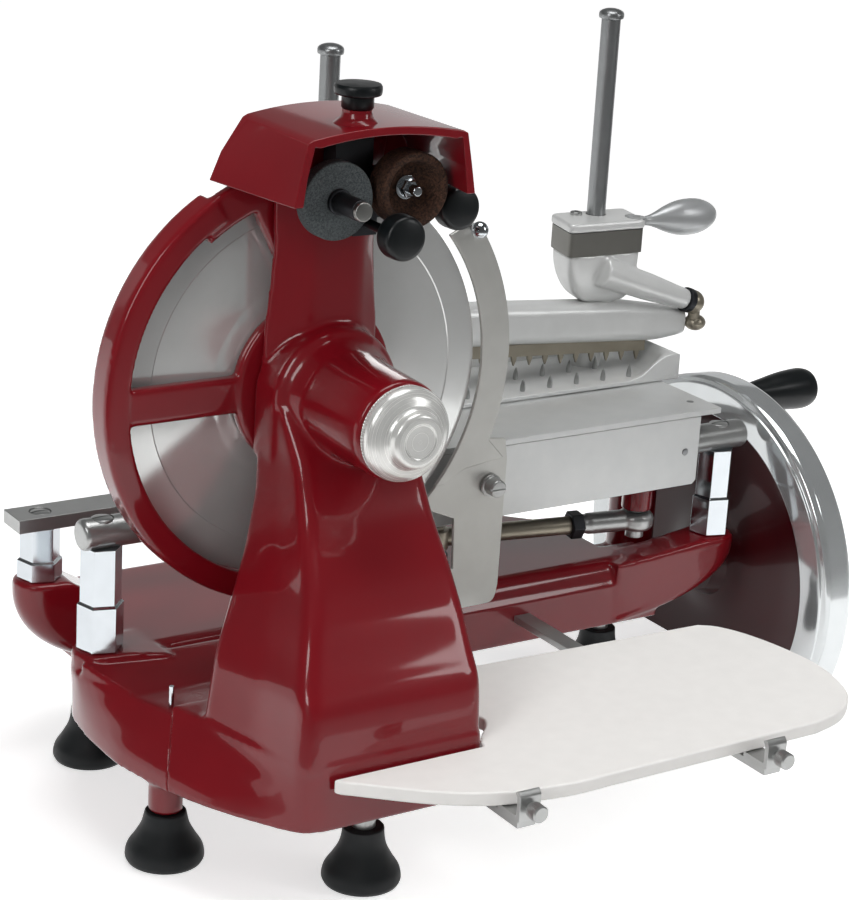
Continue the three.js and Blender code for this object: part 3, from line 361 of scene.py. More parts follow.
def makeMetal(name, light, dark, rough, grainMm, stretch=(1, 1, 1), depth=0.004, bare=1.0):
    # metal whose finishing marks run one way, with a slow cloudiness in its shine
    m, shader = newMaterial(name, Metallic=bare)
    marks = noise(m, place(m, stretch), grainMm, 4, 0.6)
    cloud = tint(m, shader, noise(m, place(m), cloudMm["metal"], 2), dark, light)
    both = addNode(m, "ShaderNodeMath", operation="ADD", links=[(0, marks), (1, cloud)]).outputs[0]
    return surface(m, shader, both, (0.35, 0.65), rough, marks, depth)


def makeTurned(name, light, dark, rough, axis, centre, ringMm, depth, bare=1.0):
    # turned metal: fine rings round the axis left by the lathe, from the distance to the axis
    m, shader = newMaterial(name, Metallic=bare)
    here = place(m, centre=centre)
    flat = {"x": (0, 1, 1), "y": (1, 0, 1), "z": (1, 1, 0)}[axis]
    radial = addNode(m, "ShaderNodeVectorMath", operation="MULTIPLY", links=[(0, here)], values=[(1, flat)])
    reach = addNode(m, "ShaderNodeVectorMath", operation="LENGTH", links=[(0, radial.outputs[0])])
    rings = addNode(m, "ShaderNodeTexNoise", noise_dimensions="1D", links=[("W", reach.outputs["Value"])],
                    values=[("Scale", perMm(ringMm)), ("Detail", 4.0)]).outputs["Fac"]
    tint(m, shader, noise(m, place(m), cloudMm["turned"], 3), dark, light)
    return surface(m, shader, rings, (0.3, 0.7), rough, rings, depth)


def makePlain(name, tone, shade, rough, sizeMm, depth, coat=0.0):
    # moulded plastic or rubber: one colour with a fine skin and a little wear in its shine
    m, shader = newMaterial(name, Coat_Weight=coat, Coat_Roughness=0.12, Specular_IOR_Level=0.35)
    grain = noise(m, place(m), sizeMm, 4, 0.6)
    cloud = tint(m, shader, noise(m, place(m), cloudMm["plain"], 3), shade, tone)
    return surface(m, shader, cloud, (0.3, 0.7), rough, grain, depth)


def makeStone(name, tones, gritMm, depth):
    # bonded abrasive: grit of several tones with open pores between the grains
    m, shader = newMaterial(name, Roughness=0.92, Specular_IOR_Level=0.3)
    here = place(m)
    grit = addNode(m, "ShaderNodeTexVoronoi", links=[("Vector", here)], values=[("Scale", perMm(gritMm))])
    pores = noise(m, here, gritMm * 2.2, 5, 0.7)
    split = addNode(m, "ShaderNodeSeparateColor", links=[("Color", grit.outputs["Color"])])
    level = addNode(m, "ShaderNodeMath", operation="MULTIPLY_ADD", links=[(0, split.outputs[0]), (2, pores)],
                    values=[(1, 0.4)])
    feed(m, shader.inputs["Base Color"], ramp(m, level.outputs[0],
                                              [(0.35, tones[0]), (0.6, tones[1]), (0.9, tones[2])]))
    bump(m, shader, level.outputs[0], depth)
    return m


redEnamel = makeEnamel("stovedRedEnamel", "#7c0d18", "#6e0b15")
# a darker, less glossy copy of the red enamel for the hand wheel's web: the darker tone is painted shade for
# the web's shaded side, not a different paint
wheelEnamelPaintedShade = makeEnamel("redWheelEnamelPaintedShade", "#3c040a", "#340409", 0.3)
bladeAxis, wheelAxis = (148, 0, 339.5), (0, 56, 78)
mirrorSteel = makeTurned("mirrorPolishedBladeSteel", "#e2e3e2", "#d8dad8", (0.10, 0.15), "y", bladeAxis,
                         1.6, 0.0, 0.6)
turnedAluminium = makeTurned("turnedAluminium", "#e2e2df", "#dcdcd9", (0.24, 0.28), "y", bladeAxis, 0.9,
                             0.0, 0.5)
wheelChrome = makeTurned("chromedWheelRim", "#dcdfe0", "#cfd3d4", (0.08, 0.14), "x", wheelAxis, 2.0, 0.0,
                         0.75)
chrome = makeMetal("chromePlate", "#d3d8dc", "#c6cbcf", (0.05, 0.10), 9, depth=0.0)
brushedSteel = makeMetal("brushedStainlessSteel", "#c3c3bf", "#b6b6b2", (0.26, 0.38), 1.2, (1, 1, 0.06),
                         0.003, bare=0.6)
groundSteel = makeMetal("groundSteelBar", "#b9bab9", "#a8a9a8", (0.20, 0.32), 1.2, (0.05, 1, 1), 0.003,
                        bare=0.85)
bandSteel = makeMetal("darkBrushedSteelBand", "#7d7c77", "#72716c", (0.30, 0.42), 1.0, (0.06, 0.06, 1),
                      0.003, bare=0.8)
castAluminium = makeMetal("polishedCastAluminium", "#dddedd", "#d2d3d2", (0.22, 0.34), 2.5, depth=0.006,
                          bare=0.35)
brushedAluminium = makeMetal("brushedAnodisedAluminium", "#cfd0cf", "#c4c6c6", (0.24, 0.34), 1.0,
                             (0.05, 1, 1), 0.002, bare=0.5)
oiledSteel = makeMetal("oiledBlackenedSteel", "#47484b", "#343538", (0.28, 0.45), 3.0, depth=0.008)
bronzedSteel = makeMetal("bronzedSteel", "#a39c8d", "#8e8779", (0.24, 0.36), 1.6, (1, 1, 0.1), 0.003,
                         bare=0.8)
satinNickel = makeMetal("satinNickelCasting", "#b4b6b7", "#a8aaab", (0.24, 0.34), 2.0, depth=0.004, bare=0.5)
uprightSteel = makeMetal("drawnUprightSteel", "#9b9d9e", "#8a8c8d", (0.20, 0.32), 1.2, (1, 1, 0.05),
                         0.003, bare=0.85)
spindleSteel = makeMetal("machinedSpindleSteel", "#a9a9a6", "#8f8f8c", (0.2, 0.32), 1.0, depth=0.003)
rubber = makePlain("mouldedBlackRubber", "#0f1416", "#0b0f11", (0.45, 0.6), 1.1, 0.012)
blackPlastic = makePlain("mouldedBlackPhenolic", "#0b1113", "#080c0e", (0.32, 0.44), 1.4, 0.006, 0.1)
whiteBoard = makePlain("whitePolyethyleneBoard", "#f3f1ee", "#ebe9e6", (0.38, 0.52), 2.0, 0.006)
greyStone = makeStone("greyBondedAbrasive", ("#34383a", "#454a4c", "#5a5f60"), 0.8, 0.10)
brownStone = makeStone("brownBondedAbrasive", ("#1c130f", "#33231b", "#4d3427"), 1.3, 0.25)

slots = {"red_enamel": (redEnamel, wheelEnamelPaintedShade), "chrome": (mirrorSteel, wheelChrome, chrome),
         "steel": (brushedSteel, groundSteel, bandSteel, bronzedSteel, uprightSteel, spindleSteel),
         "aluminium": (turnedAluminium, castAluminium, brushedAluminium, satinNickel),
         "dark_steel": (oiledSteel,), "rubber": (rubber,), "black_plastic": (blackPlastic,),
         "white_board": (whiteBoard,), "grey_abrasive": (greyStone,), "brown_abrasive": (brownStone,)}
slotOf = {m.name: slot for slot, group in slots.items() for m in group}
print("slicer: materials ready")

# base casting: beam, round left end, four lugs for the rail posts
base = {"grain": 2.0, "passes": 5, "lug": 22.0, "skirt": 67.0, "deck": 124.0, "shelf": 113.0,
        "seam": -141.0, "lean": 37.0, "flare": 37 / 57}
postX, rearY, lugTop = (0.0, 603.6), 112.0, {"front": 127.0, "frontRight": 132.0, "rear": 145.5}
seamLine = [(67, 0), (80, 0.12), (98, 0.45), (109, 0.8), (113, 0.89), (118, 1)]
shelfLow = [(38, 90), (12, 60), (-6, 34), (-18, 10), (-22.5, -12), (-25, -34), (-26, -58), (-25, -84),
            (-19, -115), (-13, -141)]
shelfHigh = [(40, 88), (14, 56), (-7, 32), (-21, 9), (-24.5, -10), (-19, -32), (-10, -52), (-2, -70),
             (4, -86), (9, -104)]


def seamY(z, shift=0.0):
    # the joint between the castings leans back from the skirt to the shelf
    return base["seam"] + base["lean"] * eased(seamLine, np.asarray(z, float), 2) + shift


def roundEnd():
    # the plan line draws in from its low shape to its high one, by the same share as the seam leans back
    z = np.concatenate([np.linspace(base["skirt"], base["shelf"] - 1.5, 24), [base["shelf"]]])
    t = eased(seamLine, z, 3)[:, None, None]
    edge = smoothLine(shelfLow, 70) * (1 - t) + smoothLine(shelfHigh, 70) * t
    edge[-1, :, 0] += 1.5
    edge = np.concatenate([edge, 2 * edge[:, -1:] - edge[:, -2:-1]], axis=1)
    first, last = join(180.0, 90.0 + 0 * z)[:, None], join(180.0, edge[:, -1, 1])[:, None]
    return atHeights(np.concatenate([first, edge, last], axis=1), z)


def slopeUp():
    # between the shelf and the beam the top rises: at each height the plan line is cut off further back
    z = np.concatenate([[100.0], np.linspace(base["shelf"], base["deck"] - 1, 12)])
    cut = np.interp(z, [base["shelf"], base["deck"] - 1], [-68, -20])
    line, steps = smoothLine(shelfHigh, 200), np.arange(200)
    first, last = np.interp(14, -line[:, 1], steps), np.interp(-cut, -line[:, 1], steps)
    share = first + (last[:, None] - first) * np.linspace(0, 1, 40)
    edge = join(np.interp(share, steps, line[:, 0]) + 1.0, np.interp(share, steps, line[:, 1]))
    ends = np.stack([join(100.0, cut), join(100.0, -14.0 + 0 * z)], axis=1)
    return atHeights(np.concatenate([edge, ends], axis=1), z, True)


beamSides = [(67, -18, 158), (104, -18, 158), (109, -14.5, 158), (112, -13, 158), (114, -12.5, 157.6),
             (118, -10, 156.8), (120, -8, 156), (122.6, -4.5, 153), (123.7, -1, 150), (124, 1.5, 147)]


def beamBody():
    # level cuts: long sides that round over into the deck, and a far right corner that widens downwards
    rings = []
    for z, near, far in beamSides:
        out = (base["deck"] - z) * base["flare"]
        rings.append([(30, near, z), (537, near, z), (537, 24, z), (500 + out, 24, z), (500 + out, 88, z),
                      (486 + out, 110, z), (455 + out, 140, z), (455 + out - (far - 140) * 1.46, far, z),
                      (30, far, z)])
    return loft(rings, True)


def lugArm(x, y, top, inward, back=30, ahead=30):
    # level cuts: a half round nose, drawn back on a quarter ellipse as it goes down, and straight flanks
    side, r = (1 if x > inward else -1), base["lug"]
    z = np.concatenate([np.linspace(base["skirt"] + 4, top - 10, 26), [top - 3, top - 1, top]])
    fall = np.clip(1 - (z - base["skirt"] - 4) / (top - base["skirt"] - 14), 0, 1)
    reach = inward + (x + side * r - inward) * np.sqrt(1 - fall ** 2)
    nose = np.minimum(side * (reach - side * r), side * x) * side
    nose = np.where(side * (nose - inward) < 0, inward, nose)
    inner = np.interp(z, [base["deck"] - 1, top], [0.0, 1.0])
    above = (x + (inward - x) * 0.92) * (1 - inner) + (x - side * r * 0.8) * inner
    tail = np.where(z < base["deck"], inward, above)
    shrink = np.interp(z, [top - 3, top - 1, top], [0, 0.6, 2.0])
    turn = np.linspace(-np.pi / 2, np.pi / 2, 25)
    radius = (r - shrink)[:, None]
    cap = join(nose[:, None] + side * radius * np.cos(turn), y + radius * np.sin(turn))
    wide = np.clip(radius[:, 0] + 8 * np.abs(tail - nose) / 60, 0, 30)
    ends = np.stack([join(tail, y + np.minimum(wide, back)), join(tail, y - np.minimum(wide, ahead))], axis=1)
    return atHeights(np.concatenate([cap, ends], axis=1), z)


def makeBase():
    solids = [beamBody(), roundEnd(),
              lathe("x", (0, 56, 78), [(0, 517), (17, 517), (17, 632.5), (15.5, 634), (0, 634)]),
              lathe("z", (-1, -118, 0), [(0, 41.3), (12, 41.3), (13.5, 43), (13.5, 80), (0, 80)])]
    seat = [(0, 84), (12, 87), (20, 96), (21.9, 108), (21.9, 125.4), (20.4, 127), (0, 127)]
    solids += [slopeUp(), lathe("z", (0, 0, 0), seat)]
    solids += [lugArm(postX[0], 0, lugTop["front"], 60), lugArm(postX[0], rearY, lugTop["rear"], 60),
               lugArm(postX[1], 0, lugTop["frontRight"], 490, 14, 18.6),
               block(470, postX[1], rearY - 14, rearY + 14, 67.5, 80),
               lathe("z", (postX[1], rearY, 0), [(0, 68), (22, 68), (22, 143.9), (20.4, 145.5), (0, 145.5)])]
    z = np.linspace(60, 126, 34)
    seam = np.concatenate([[(-190, 60)], join(seamY(z), z), [(-190, 126)]])
    room = [(58, -11), (488, -11), (488, 80), (474, 106), (446, 131), (415, 151), (58, 151)]
    hollow = [plate(room, "z", 40, 110), block(8, 170, -150, 0, 40, 99), plate(seam, "x", -60, 250)]
    piece("baseCasting", fused(solids, base["grain"], base["passes"], hollow), redEnamel, "frame",
          "base_casting", 180)


makeBase()
print("slicer: base casting done")

# tower casting: foot, leaning body, arched hub housing, boss and upper column
tower = {"grain": 1.9, "passes": 12, "archRadius": 54.0, "archFillet": 9.0, "bossRadius": 39.0}
frontLine = [(67, -250), (109, -247), (143, -243), (160, -240), (171, -231), (183, -222), (204, -209),
             (230, -188), (259, -160), (282, -144), (320, -114), (336, -100), (394, -97)]
rearLeftX = [(118, 18), (163, 34), (182, 48), (207, 64), (227, 76), (266, 89), (298, 94), (394, 94)]
rearLeftY = [(118, -134), (163, -118), (182, -105), (207, -92), (227, -82), (266, -72), (298, -64),
             (394, -62)]
frontLeftX = [(67, 41), (118, 41), (165, 46), (200, 60), (225, 72), (260, 86), (300, 96)]
rightX = [(67, 195), (118, 195), (290, 201), (400, 202)]
rearLine = [(110, -105), (118, -105), (227, -74), (298, -61), (394, -60.3)]


def stack(corners, radii, z):
    # a ring of rounded corners at each height
    return atHeights(soften(np.stack(corners, axis=1), np.array(radii, float), 5), z)


def towerBody():
    z = np.linspace(base["shelf"] + 0.4, 338, 70)
    front, rear = eased(frontLine, z, 7), eased(rearLine, z, 6)
    left, leftY = np.maximum(eased(rearLeftX, z, 7), 0), eased(rearLeftY, z, 7)
    frontX = eased(frontLeftX, z, 7)
    right = np.minimum(eased(rightX, z, 6), bladeAxis[0] + tower["archRadius"])
    corners = [join(left, leftY), join((left + frontX) / 2 + 1.5, (leftY + front) / 2), join(frontX, front),
               join(right, front), join(right, rear), join(left * 0.65 + right * 0.35, rear)]
    return stack(corners, [8, 7, 12, 11, 6, 6], z)


def towerFoot():
    low = np.array([(-14, -138.7), (-4, -168), (14, -204), (33, -234), (44, -246), (60, -249.5), (190, -250),
                    (195, -246), (195, -138.7)], float)
    high = np.array([(8.6, -101.6), (13, -118), (18, -135), (34, -210), (40, -240), (56, -246.5), (190, -247),
                     (195, -243), (195, -101.6)], float)
    z = np.linspace(67, 118, 26)
    t = eased(seamLine, z, 3)[:, None, None]
    return atHeights(soften(low * (1 - t) + high * t, np.array([1, 14, 14, 10, 6, 8, 4, 4, 1], float), 5), z)


def hubHousing():
    # an arch carried along Y whose outline draws in by a quarter round at its front
    cx, _, cz = bladeAxis
    lean, turn = np.linspace(np.pi / 2, 0, 9), np.radians(np.linspace(180, 0, 49))
    y = np.concatenate([-97 + tower["archFillet"] * (1 - np.sin(lean)), [-60.4]])[:, None]
    radius = tower["archRadius"] - np.concatenate([tower["archFillet"] * (1 - np.cos(lean)), [0]])[:, None]
    top = join(cx + radius * np.cos(turn), y, cz + radius * np.sin(turn))
    return loft(np.concatenate([top, join(cx + radius * [1, -1], y, 292.0)], axis=1))


def upperColumn():
    z = np.linspace(300, 532, 60)
    half = eased([(300, 50), (388, 49), (410, 46), (450, 43), (500, 45), (532, 52)], z, 10)
    sides = ((-half, -60.6), (-half, -66), (0 * z - 22, -82), (0 * z + 22, -82), (half, -66), (half, -60.6))
    return stack([join(bladeAxis[0] + x, y) for x, y in sides], [1.5, 3, 7, 7, 3, 1.5], z)


def makeTower():
    r = tower["bossRadius"]
    boss = rounded("y", bladeAxis, [(0, -184), (r - 3, -184), (r - 1, -182), (r + 0.5, -130),
                                    (r + 2, -112), (r + 6, -101), (r + 9, -96), (r + 9, -90), (0, -90)],
                   3, 128, steps=4)
    ear = block(150, 214, -104, -47.9, 129, 157)
    solids = [towerBody(), towerFoot(), hubHousing(), upperColumn(), boss, ear,
              cylinder("z", (114, -214, 0), 16, 67, 112, 48)]
    z = np.linspace(60, 118, 30)
    seam = np.concatenate([[(-60, 60)], join(seamY(z, -0.35), z), [(-60, 118)]])
    room = [(26, -146), (26, -170), (50, -238), (96, -238), (96, -146)]
    hollow = [plate(room, "z", 40, 108), block(133, 186, -238, -146, 40, 108), plate(seam, "x", -60, 260)]
    piece("towerCasting", fused(solids, tower["grain"], tower["passes"], hollow), redEnamel, "frame",
          "tower_casting", 180)


makeTower()
print("slicer: tower casting done")

# ring guard round the left half of the blade, with its spokes and hub
guard = {"grain": 1.7, "passes": 4, "from": 121, "to": 282, "inner": 158.6, "outer": 175.7,
         "front": -60.0, "back": -47.0, "hub": 68.0}


def guardBand():
    # a lipped section in radius and Y, carried round the blade's axis
    g = guard
    section = soften([(g["outer"], g["front"] + 25), (g["inner"] + 1.5, g["front"] + 25),
                      (g["inner"] + 1.5, g["back"] - 1.6), (g["inner"] - 3, g["back"] - 1.6),
                      (g["inner"] - 3, g["front"]), (g["outer"], g["front"])],
                     np.array([2, 1, 1, 1.5, 2, 4.0]))
    turn = np.radians(np.linspace(g["from"], g["to"], 120))[:, None]
    r, y = section.T
    return loft(join(bladeAxis[0] + r * np.cos(turn), y, bladeAxis[2] + r * np.sin(turn)))


def makeGuard():
    g, (cx, _, cz) = guard, bladeAxis
    a, b = g["front"] + 1, g["back"] - 2
    left = block(cx - 157, cx - 64, a, b, cz - 15, cz + 13)
    up = plate([(cx - 16, cz + 64), (cx + 14, cz + 64), (cx + 14, cz + 150), (cx - 40, cz + 161),
                (cx - 62, cz + 150)], "y", a, b)
    down = block(cx - 14, cx + 14, a, b, cz - 157, cz - 64)
    hub = cylinder("y", bladeAxis, g["hub"], a - 1, -48.4, 160, 4, 4)
    edge = np.concatenate([arc(cx, cz, g["outer"], 104, 128, 24), arc(cx, cz, 149, 128, 104, 24)])
    tip = plate(edge, "y", a, b)
    bore = cylinder("y", bladeAxis, 12.6, -70, -40, 48)
    mesh = fused([guardBand(), left, up, down, hub, tip], g["grain"], g["passes"], [bore])
    piece("ringGuard", mesh, redEnamel, "frame", "ring_guard", 180)


makeGuard()
print("slicer: ring guard done")

# blade: ground rim, dished mirror face and raised middle
bladeShape = {"radius": 158.0, "bevel": 26.0, "front": -46.0, "back": -38.4}


def makeBlade():
    b = bladeShape
    r, front, back = b["radius"], b["front"], b["back"]
    inner = r - b["bevel"]
    edge = [(12.3, back), (r - 5, back), (r, back - 0.6), (r - 1, back - 2.2), (inner, front + 2.6)]
    face = smoothLine([(inner - 1, front + 3.1), (104, front + 1.8), (80, front)], 16)
    profile = np.concatenate([edge, face, [(76, front - 1), (12.3, front - 1)]])
    piece("blade", [lathe("y", bladeAxis, profile, 256)], mirrorSteel, "blade", "blade", 24)


def makeHubCap():
    # turned knob with a knurled rim: the ripple is a rounded tooth round the rim, and none elsewhere
    r, knob, teeth = 36.0, 21.0, 45
    rim = soften([(0, -209.3), (12.5, -209.3), (13.4, -210), (knob - 2.5, -210), (knob, -208),
                  (knob + 0.6, -203.5), (knob + 3, -200.5), (r - 6, -198), (r - 1.5, -194), (r, -190.6),
                  (r, -185.6), (r - 1, -184.5), (0, -184.5)], 1.8, 5, False)
    flat = np.concatenate([rim[rim[:, 1] < -190.6], [(r, -190.2), (r, -189), (r, -187), (r, -186)],
                           rim[rim[:, 1] > -185.6]])
    flat[:1, 0], flat[-1:, 0] = 0, 0
    knurl = lambda y, turn: np.where((y > -190.1) & (y < -185.9), -0.7 * np.abs(np.sin(teeth * turn)), 0)
    piece("hubCap", [lathe("y", bladeAxis, flat, 540, knurl)], turnedAluminium, "frame", "hub_cap", 30)


def makeSidePlate():
    # the arc strip stands a little proud of the bracket that carries it, and ends in a rounded bend
    cx, _, cz = bladeAxis
    inner, outer = arc(cx, cz, 161.5, 40, -40, 60), arc(cx, cz, 188, -22, 36, 50)
    strip = np.concatenate([inner, [(281, 236), (300, 247), (338, 252)], outer, [(291, 452)]])
    step = [(272, 214), (293, 205), (295, 161), (204, 157), (204, 130)]
    bend = [(300, 124.5), (338, 125), (341, 140)]
    lower = np.concatenate([arc(cx, cz, 163, -24, -46, 20), step, soften(bend, 7, 6, False),
                            [(342, 250), (339, 268)]])
    piece("bladeSideStrip", [plate(strip, "y", -47.6, -44.2)], brushedSteel, "frame", "side_plate", 30, 1.1)
    piece("bladeSideBracket", [plate(lower, "y", -46.6, -43.7)], brushedSteel, "frame", None, 30, 0.6)
    head = rounded("y", (326, 0, 230), [(0, -61), (6.6, -61), (7.5, -60), (7.5, -50.4), (9.5, -50.2),
                                        (9.5, -47.9), (0, -47.9)], 0.6)
    slotted = cutOut([head], [block(316, 336, -63, -59.4, 229.2, 230.8)])
    piece("sidePlateBolt", slotted, groundSteel, "frame", "side_plate_bolt")
    ball = np.concatenate([[(0, -64)], arc(0, -57, 7, -80.2141, 60.1606, 24), [(3.2, -47.9), (0, -47.9)]])
    piece("sidePlateBall", [lathe("y", (293, 0, 448), ball)], chrome, "frame", "side_plate_ball")


makeBlade()
makeHubCap()
makeSidePlate()
print("slicer: blade side done")

# rails on their hexagon posts, and the feet
rails = {"height": 222.0, "radius": 12.5, "split": {"front": 166.0, "rear": 163.0}}


def hexagonPost(x, y, low, split, high):
    # two stacked hexagons, the lower one wider, with chamfered ends
    profile = [(0, low), (17.4, low), (18.4, low + 1), (18.4, split - 1.6), (16.6, split),
               (16.35, split + 0.1), (16.35, high), (0, high)]
    return lathe("z", (x, y, 0), profile, 6, start=45)


def slottedScrew(x, y, top, low):
    dome = np.linspace(0, 1, 8)
    head = np.concatenate([[(0, low), (4, low), (4, top - 2.2), (8.4, top - 2.2)],
                           join(8.4 * np.sqrt(1 - dome ** 2), top - 0.6 + dome * 1.4)])
    head[-1, 0] = 0
    slot = block(x - 10, x + 10, y - 0.9, y + 0.9, top - 1.2, top + 3)
    return cutOut([lathe("z", (x, y, 0), head)], [slot])


def makeRails():
    z, r = rails["height"], rails["radius"]
    seats = [cylinder("z", (x, 0, 0), 9, z + r - 2.6, z + r + 4, 48) for x in postX]
    bar = soften([(0, -19), (r, -19), (r, 629.5), (0, 629.5)], np.array([0, 6, 4, 0.0]), 8, False)
    piece("roundRail", cutOut([lathe("x", (0, 0, z), bar, 96)], seats), groundSteel, "frame", "rail_round")
    seats = [cylinder("z", (x, rearY, 0), 9, 199.3, 206, 48) for x in postX]
    flat = cutOut([block(-24.8, 629, 96.7, 127.4, 190.6, 201.9)], seats)
    piece("flatRail", flat, groundSteel, "frame", "rail_flat", 30, 0.5)
    for i, side in enumerate(("left", "right")):
        x = postX[i]
        low = lugTop["frontRight" if i else "front"] + 0.3
        front = hexagonPost(x, 0, low, rails["split"]["front"] + 2 * i, z - r + 2)
        rear = hexagonPost(x, rearY, lugTop["rear"] + 0.3, rails["split"]["rear"], 190.4)
        piece("frontPost_" + side, [front], chrome, "frame", "post_front_" + side, 20, 0.5)
        piece("rearPost_" + side, [rear], chrome, "frame", "post_rear_" + side, 20, 0.5)
        piece("frontScrew_" + side, slottedScrew(x, 0, z + r - 0.4, z + r - 4), groundSteel, "frame")
        piece("rearScrew_" + side, slottedScrew(x, rearY, 201.5, 198), groundSteel, "frame")


feet = {"rear_left": (25, 66, 67), "front_left": (-1, -118, 41), "tower": (114, -214, 67),
        "right": (508, 27, 67)}


def makeFeet():
    # a moulded rubber bell on the table; all but the sleeved one show a steel stud above it
    for name, (x, y, top) in feet.items():
        neck = 41 if top == 41 else 46
        flank = smoothLine([(28.5, 1.2), (30, 5), (28.6, 12), (23.5, 20), (18.6, 29), (16.4, 37),
                            (15.7, neck - 1)], 40)
        bell = np.concatenate([[(0, 0.2), (24, 0.2)], flank, [(14.8, neck), (0, neck)]])
        piece("rubberFoot_" + name, [lathe("z", (x, y, 0), bell, 96)], rubber, "frame", "foot_" + name)
        if top > 41:
            stud = cylinder("z", (x, y, 0), 9, neck, top - 0.4, 48)
            piece("footStud_" + name, [stud], groundSteel, "frame")


makeRails()
makeFeet()
print("slicer: rails and feet done")

# receiving board with its clips
board = {"top": 110.0, "thickness": 11.0}
boardTower = [(195.6, -241), (203, -232), (214, -221), (219, -211), (216, -202), (207, -198), (195.6, -197)]
boardRight = [(489, -131), (502, -141), (514, -163), (523, -197), (527, -236), (522, -268), (512, -293),
              (498, -309), (478, -321), (452, -328)]
boardLeft = [(256, -331), (212, -331), (160, -321), (118, -299), (66, -256)]
clipScrew = [(0, -27), (5.6, -27), (6.5, -26), (6.6, -25), (6.6, -21), (6.6, -18), (6.5, -17), (5.8, -16),
             (4, -15), (4, -12), (0, -12)]


def makeBoard():
    outline = np.concatenate([[(63, -251), (192, -251)], smoothLine(boardTower, 30), [(195.6, -120)],
                              smoothLine(boardRight, 60), smoothLine(boardLeft, 40)])
    slab = plate(outline, "z", board["top"] - board["thickness"], board["top"])
    piece("receivingBoard", [slab], whiteBoard, "frame", "receiving_board", 40, 1.8)
    for side, x, y in (("left", 171, -329), ("right", 389, -340)):
        low = board["top"] - board["thickness"] - 4.4
        hook = soften([(y - 13, low), (y + 14, low), (y + 14, low + 4.1), (y - 9, low + 4.1),
                       (y - 9, board["top"] + 3), (y - 6.5, board["top"] + 6), (y - 10, board["top"] + 8),
                       (y - 13, board["top"] + 4)], 1.0, 3)
        knurl = lambda v, turn: np.where((v > -25.6) & (v < -17.4), -0.35 * np.abs(np.sin(20 * turn)), 0)
        screw = lathe("y", (x, y, board["top"] - 5), clipScrew, 160, knurl)
        piece("boardClip_" + side, [plate(hook, "x", x - 9, x + 9)], groundSteel, "frame",
              "board_clip_" + side, 30, 0.5)
        piece("boardScrew_" + side, [screw], groundSteel, "frame", None, 30)
        fromNode("boardArm_" + side, "board_arm_" + side, groundSteel, "frame")


makeBoard()
print("slicer: receiving board done")

# hand wheel with its handle
wheel = {"x": 644.0, "width": 36.0, "radius": 174.0, "flange": 167.0, "web": 140.7}


def makeWheel():
    x, width, radius, flange, inner = wheel.values()
    back = x + width
    rim = soften([(inner + 0.3, x), (flange, x), (flange + 0.5, x + 2.2),
                  (radius - 2.5, x + 3.6), (radius, x + 8), (radius, back - 8),
                  (radius - 2.5, back - 3.6), (flange, back - 1.5), (inner + 0.3, back - 1.5)], 1.6, 4)
    piece("wheelRim", [lathe("x", wheelAxis, rim, 288)], wheelChrome, "flywheel", "flywheel_rim", 24)
    front = smoothLine([(34, x + 5), (60, x + 10), (105, x + 9), (inner, x + 4)], 24)
    rear = smoothLine([(inner, x + 26), (105, x + 21), (60, x + 20), (38, x + 28)], 24)
    web = np.concatenate([[(10.3, x - 6), (27, x - 6), (28.5, x - 4)], front, rear,
                          [(29, x + 36.5), (27, x + 38), (10.3, x + 38)]])
    # the web's darker enamel is painted shade
    piece("wheelWeb", [lathe("x", wheelAxis, web, 192)], wheelEnamelPaintedShade, "flywheel", "flywheel_web", 40)
    at = (0, 60, 232)
    spindle = [(0, x + 20.3), (6, x + 20.3), (6, back - 1), (11, back - 1), (11, back + 5), (6, back + 5),
               (6, 752), (0, 752)]
    piece("handleSpindle", [rounded("x", at, spindle, 0.8)], chrome, "flywheel", "handle_spindle")
    a = back + 5.6
    swell = smoothLine([(11, a + 0.6), (14, a + 18), (17.6, a + 40), (19, a + 58), (18.4, 752),
                        (15.6, 758.5), (9, 761.6)], 60)
    grip = np.concatenate([[(0, a), (6.6, a)], swell, [(0, 762)]])
    piece("handleGrip", [lathe("x", at, grip, 96)], blackPlastic, "handle", "handle_grip")


makeWheel()
print("slicer: hand wheel done")

# carriage with its plates, and the rod from the crank
lugPin, crankCentre, rodZ = (525.0, 8.0), (250.0, 56.0), 152.0
reach = math.hypot(lugPin[0] - crankCentre[0], lugPin[1] - crankCentre[1])
rodLength = reach - 86.0
towardCrank = tuple(lugPin[i] + (crankCentre[i] - lugPin[i]) / reach for i in (0, 1))


def onRod(solid):
    return along(solid, (*lugPin, 0), (*towardCrank, 0))


def makeCarriage():
    fromNode("carriageBody", "carriage_body", oiledSteel, "carriage")
    front = [(204, 190.3), (559, 190.3), (562.7, 194), (562.7, 252.4), (204, 252.4)]
    piece("carriageFrontPlate", [plate(front, "y", -24.2, -19.2)], brushedAluminium, "carriage",
          "carriage_front_plate", 30, 0.7)
    top = [(204, -25.5), (583.3, -25.5), (583.3, 62), (204, 62)]
    piece("carriageTopPlate", [plate(top, "z", 253, 258.2)], brushedAluminium, "carriage",
          "carriage_top_plate", 30, 0.8)
    cap = [(0, -25.2), (2.6, -25.1), (3.2, -24.6), (3.2, -23.9), (0, -23.9)]
    screws = [lathe("z", (568, -0.4, 0), [(0, 257.9), (3.4, 257.9), (3.2, 258.4), (0, 258.7)], 32),
              lathe("y", (547.7, 0, 221.5), cap, 32)]
    piece("plateScrews", screws, uprightSteel, "carriage")
    lug = cylinder("z", (*lugPin, 0), 13.4, 163.2, 190, soft=1.6, steps=4)
    piece("rodLugSleeve", [lug], redEnamel, "carriage")
    bolt = [(0, 136.5), (8, 136.5), (8, rodZ - 8.6), (5, rodZ - 8.6), (5, rodZ + 8.6), (8.6, rodZ + 8.6),
            (8.6, 162.7), (5, 162.7), (5, 194), (0, 194)]
    piece("rodPivotBolt", [rounded("z", (*lugPin, 0), bolt, 0.8)], groundSteel, "carriage", "rod_pivot_bolt")


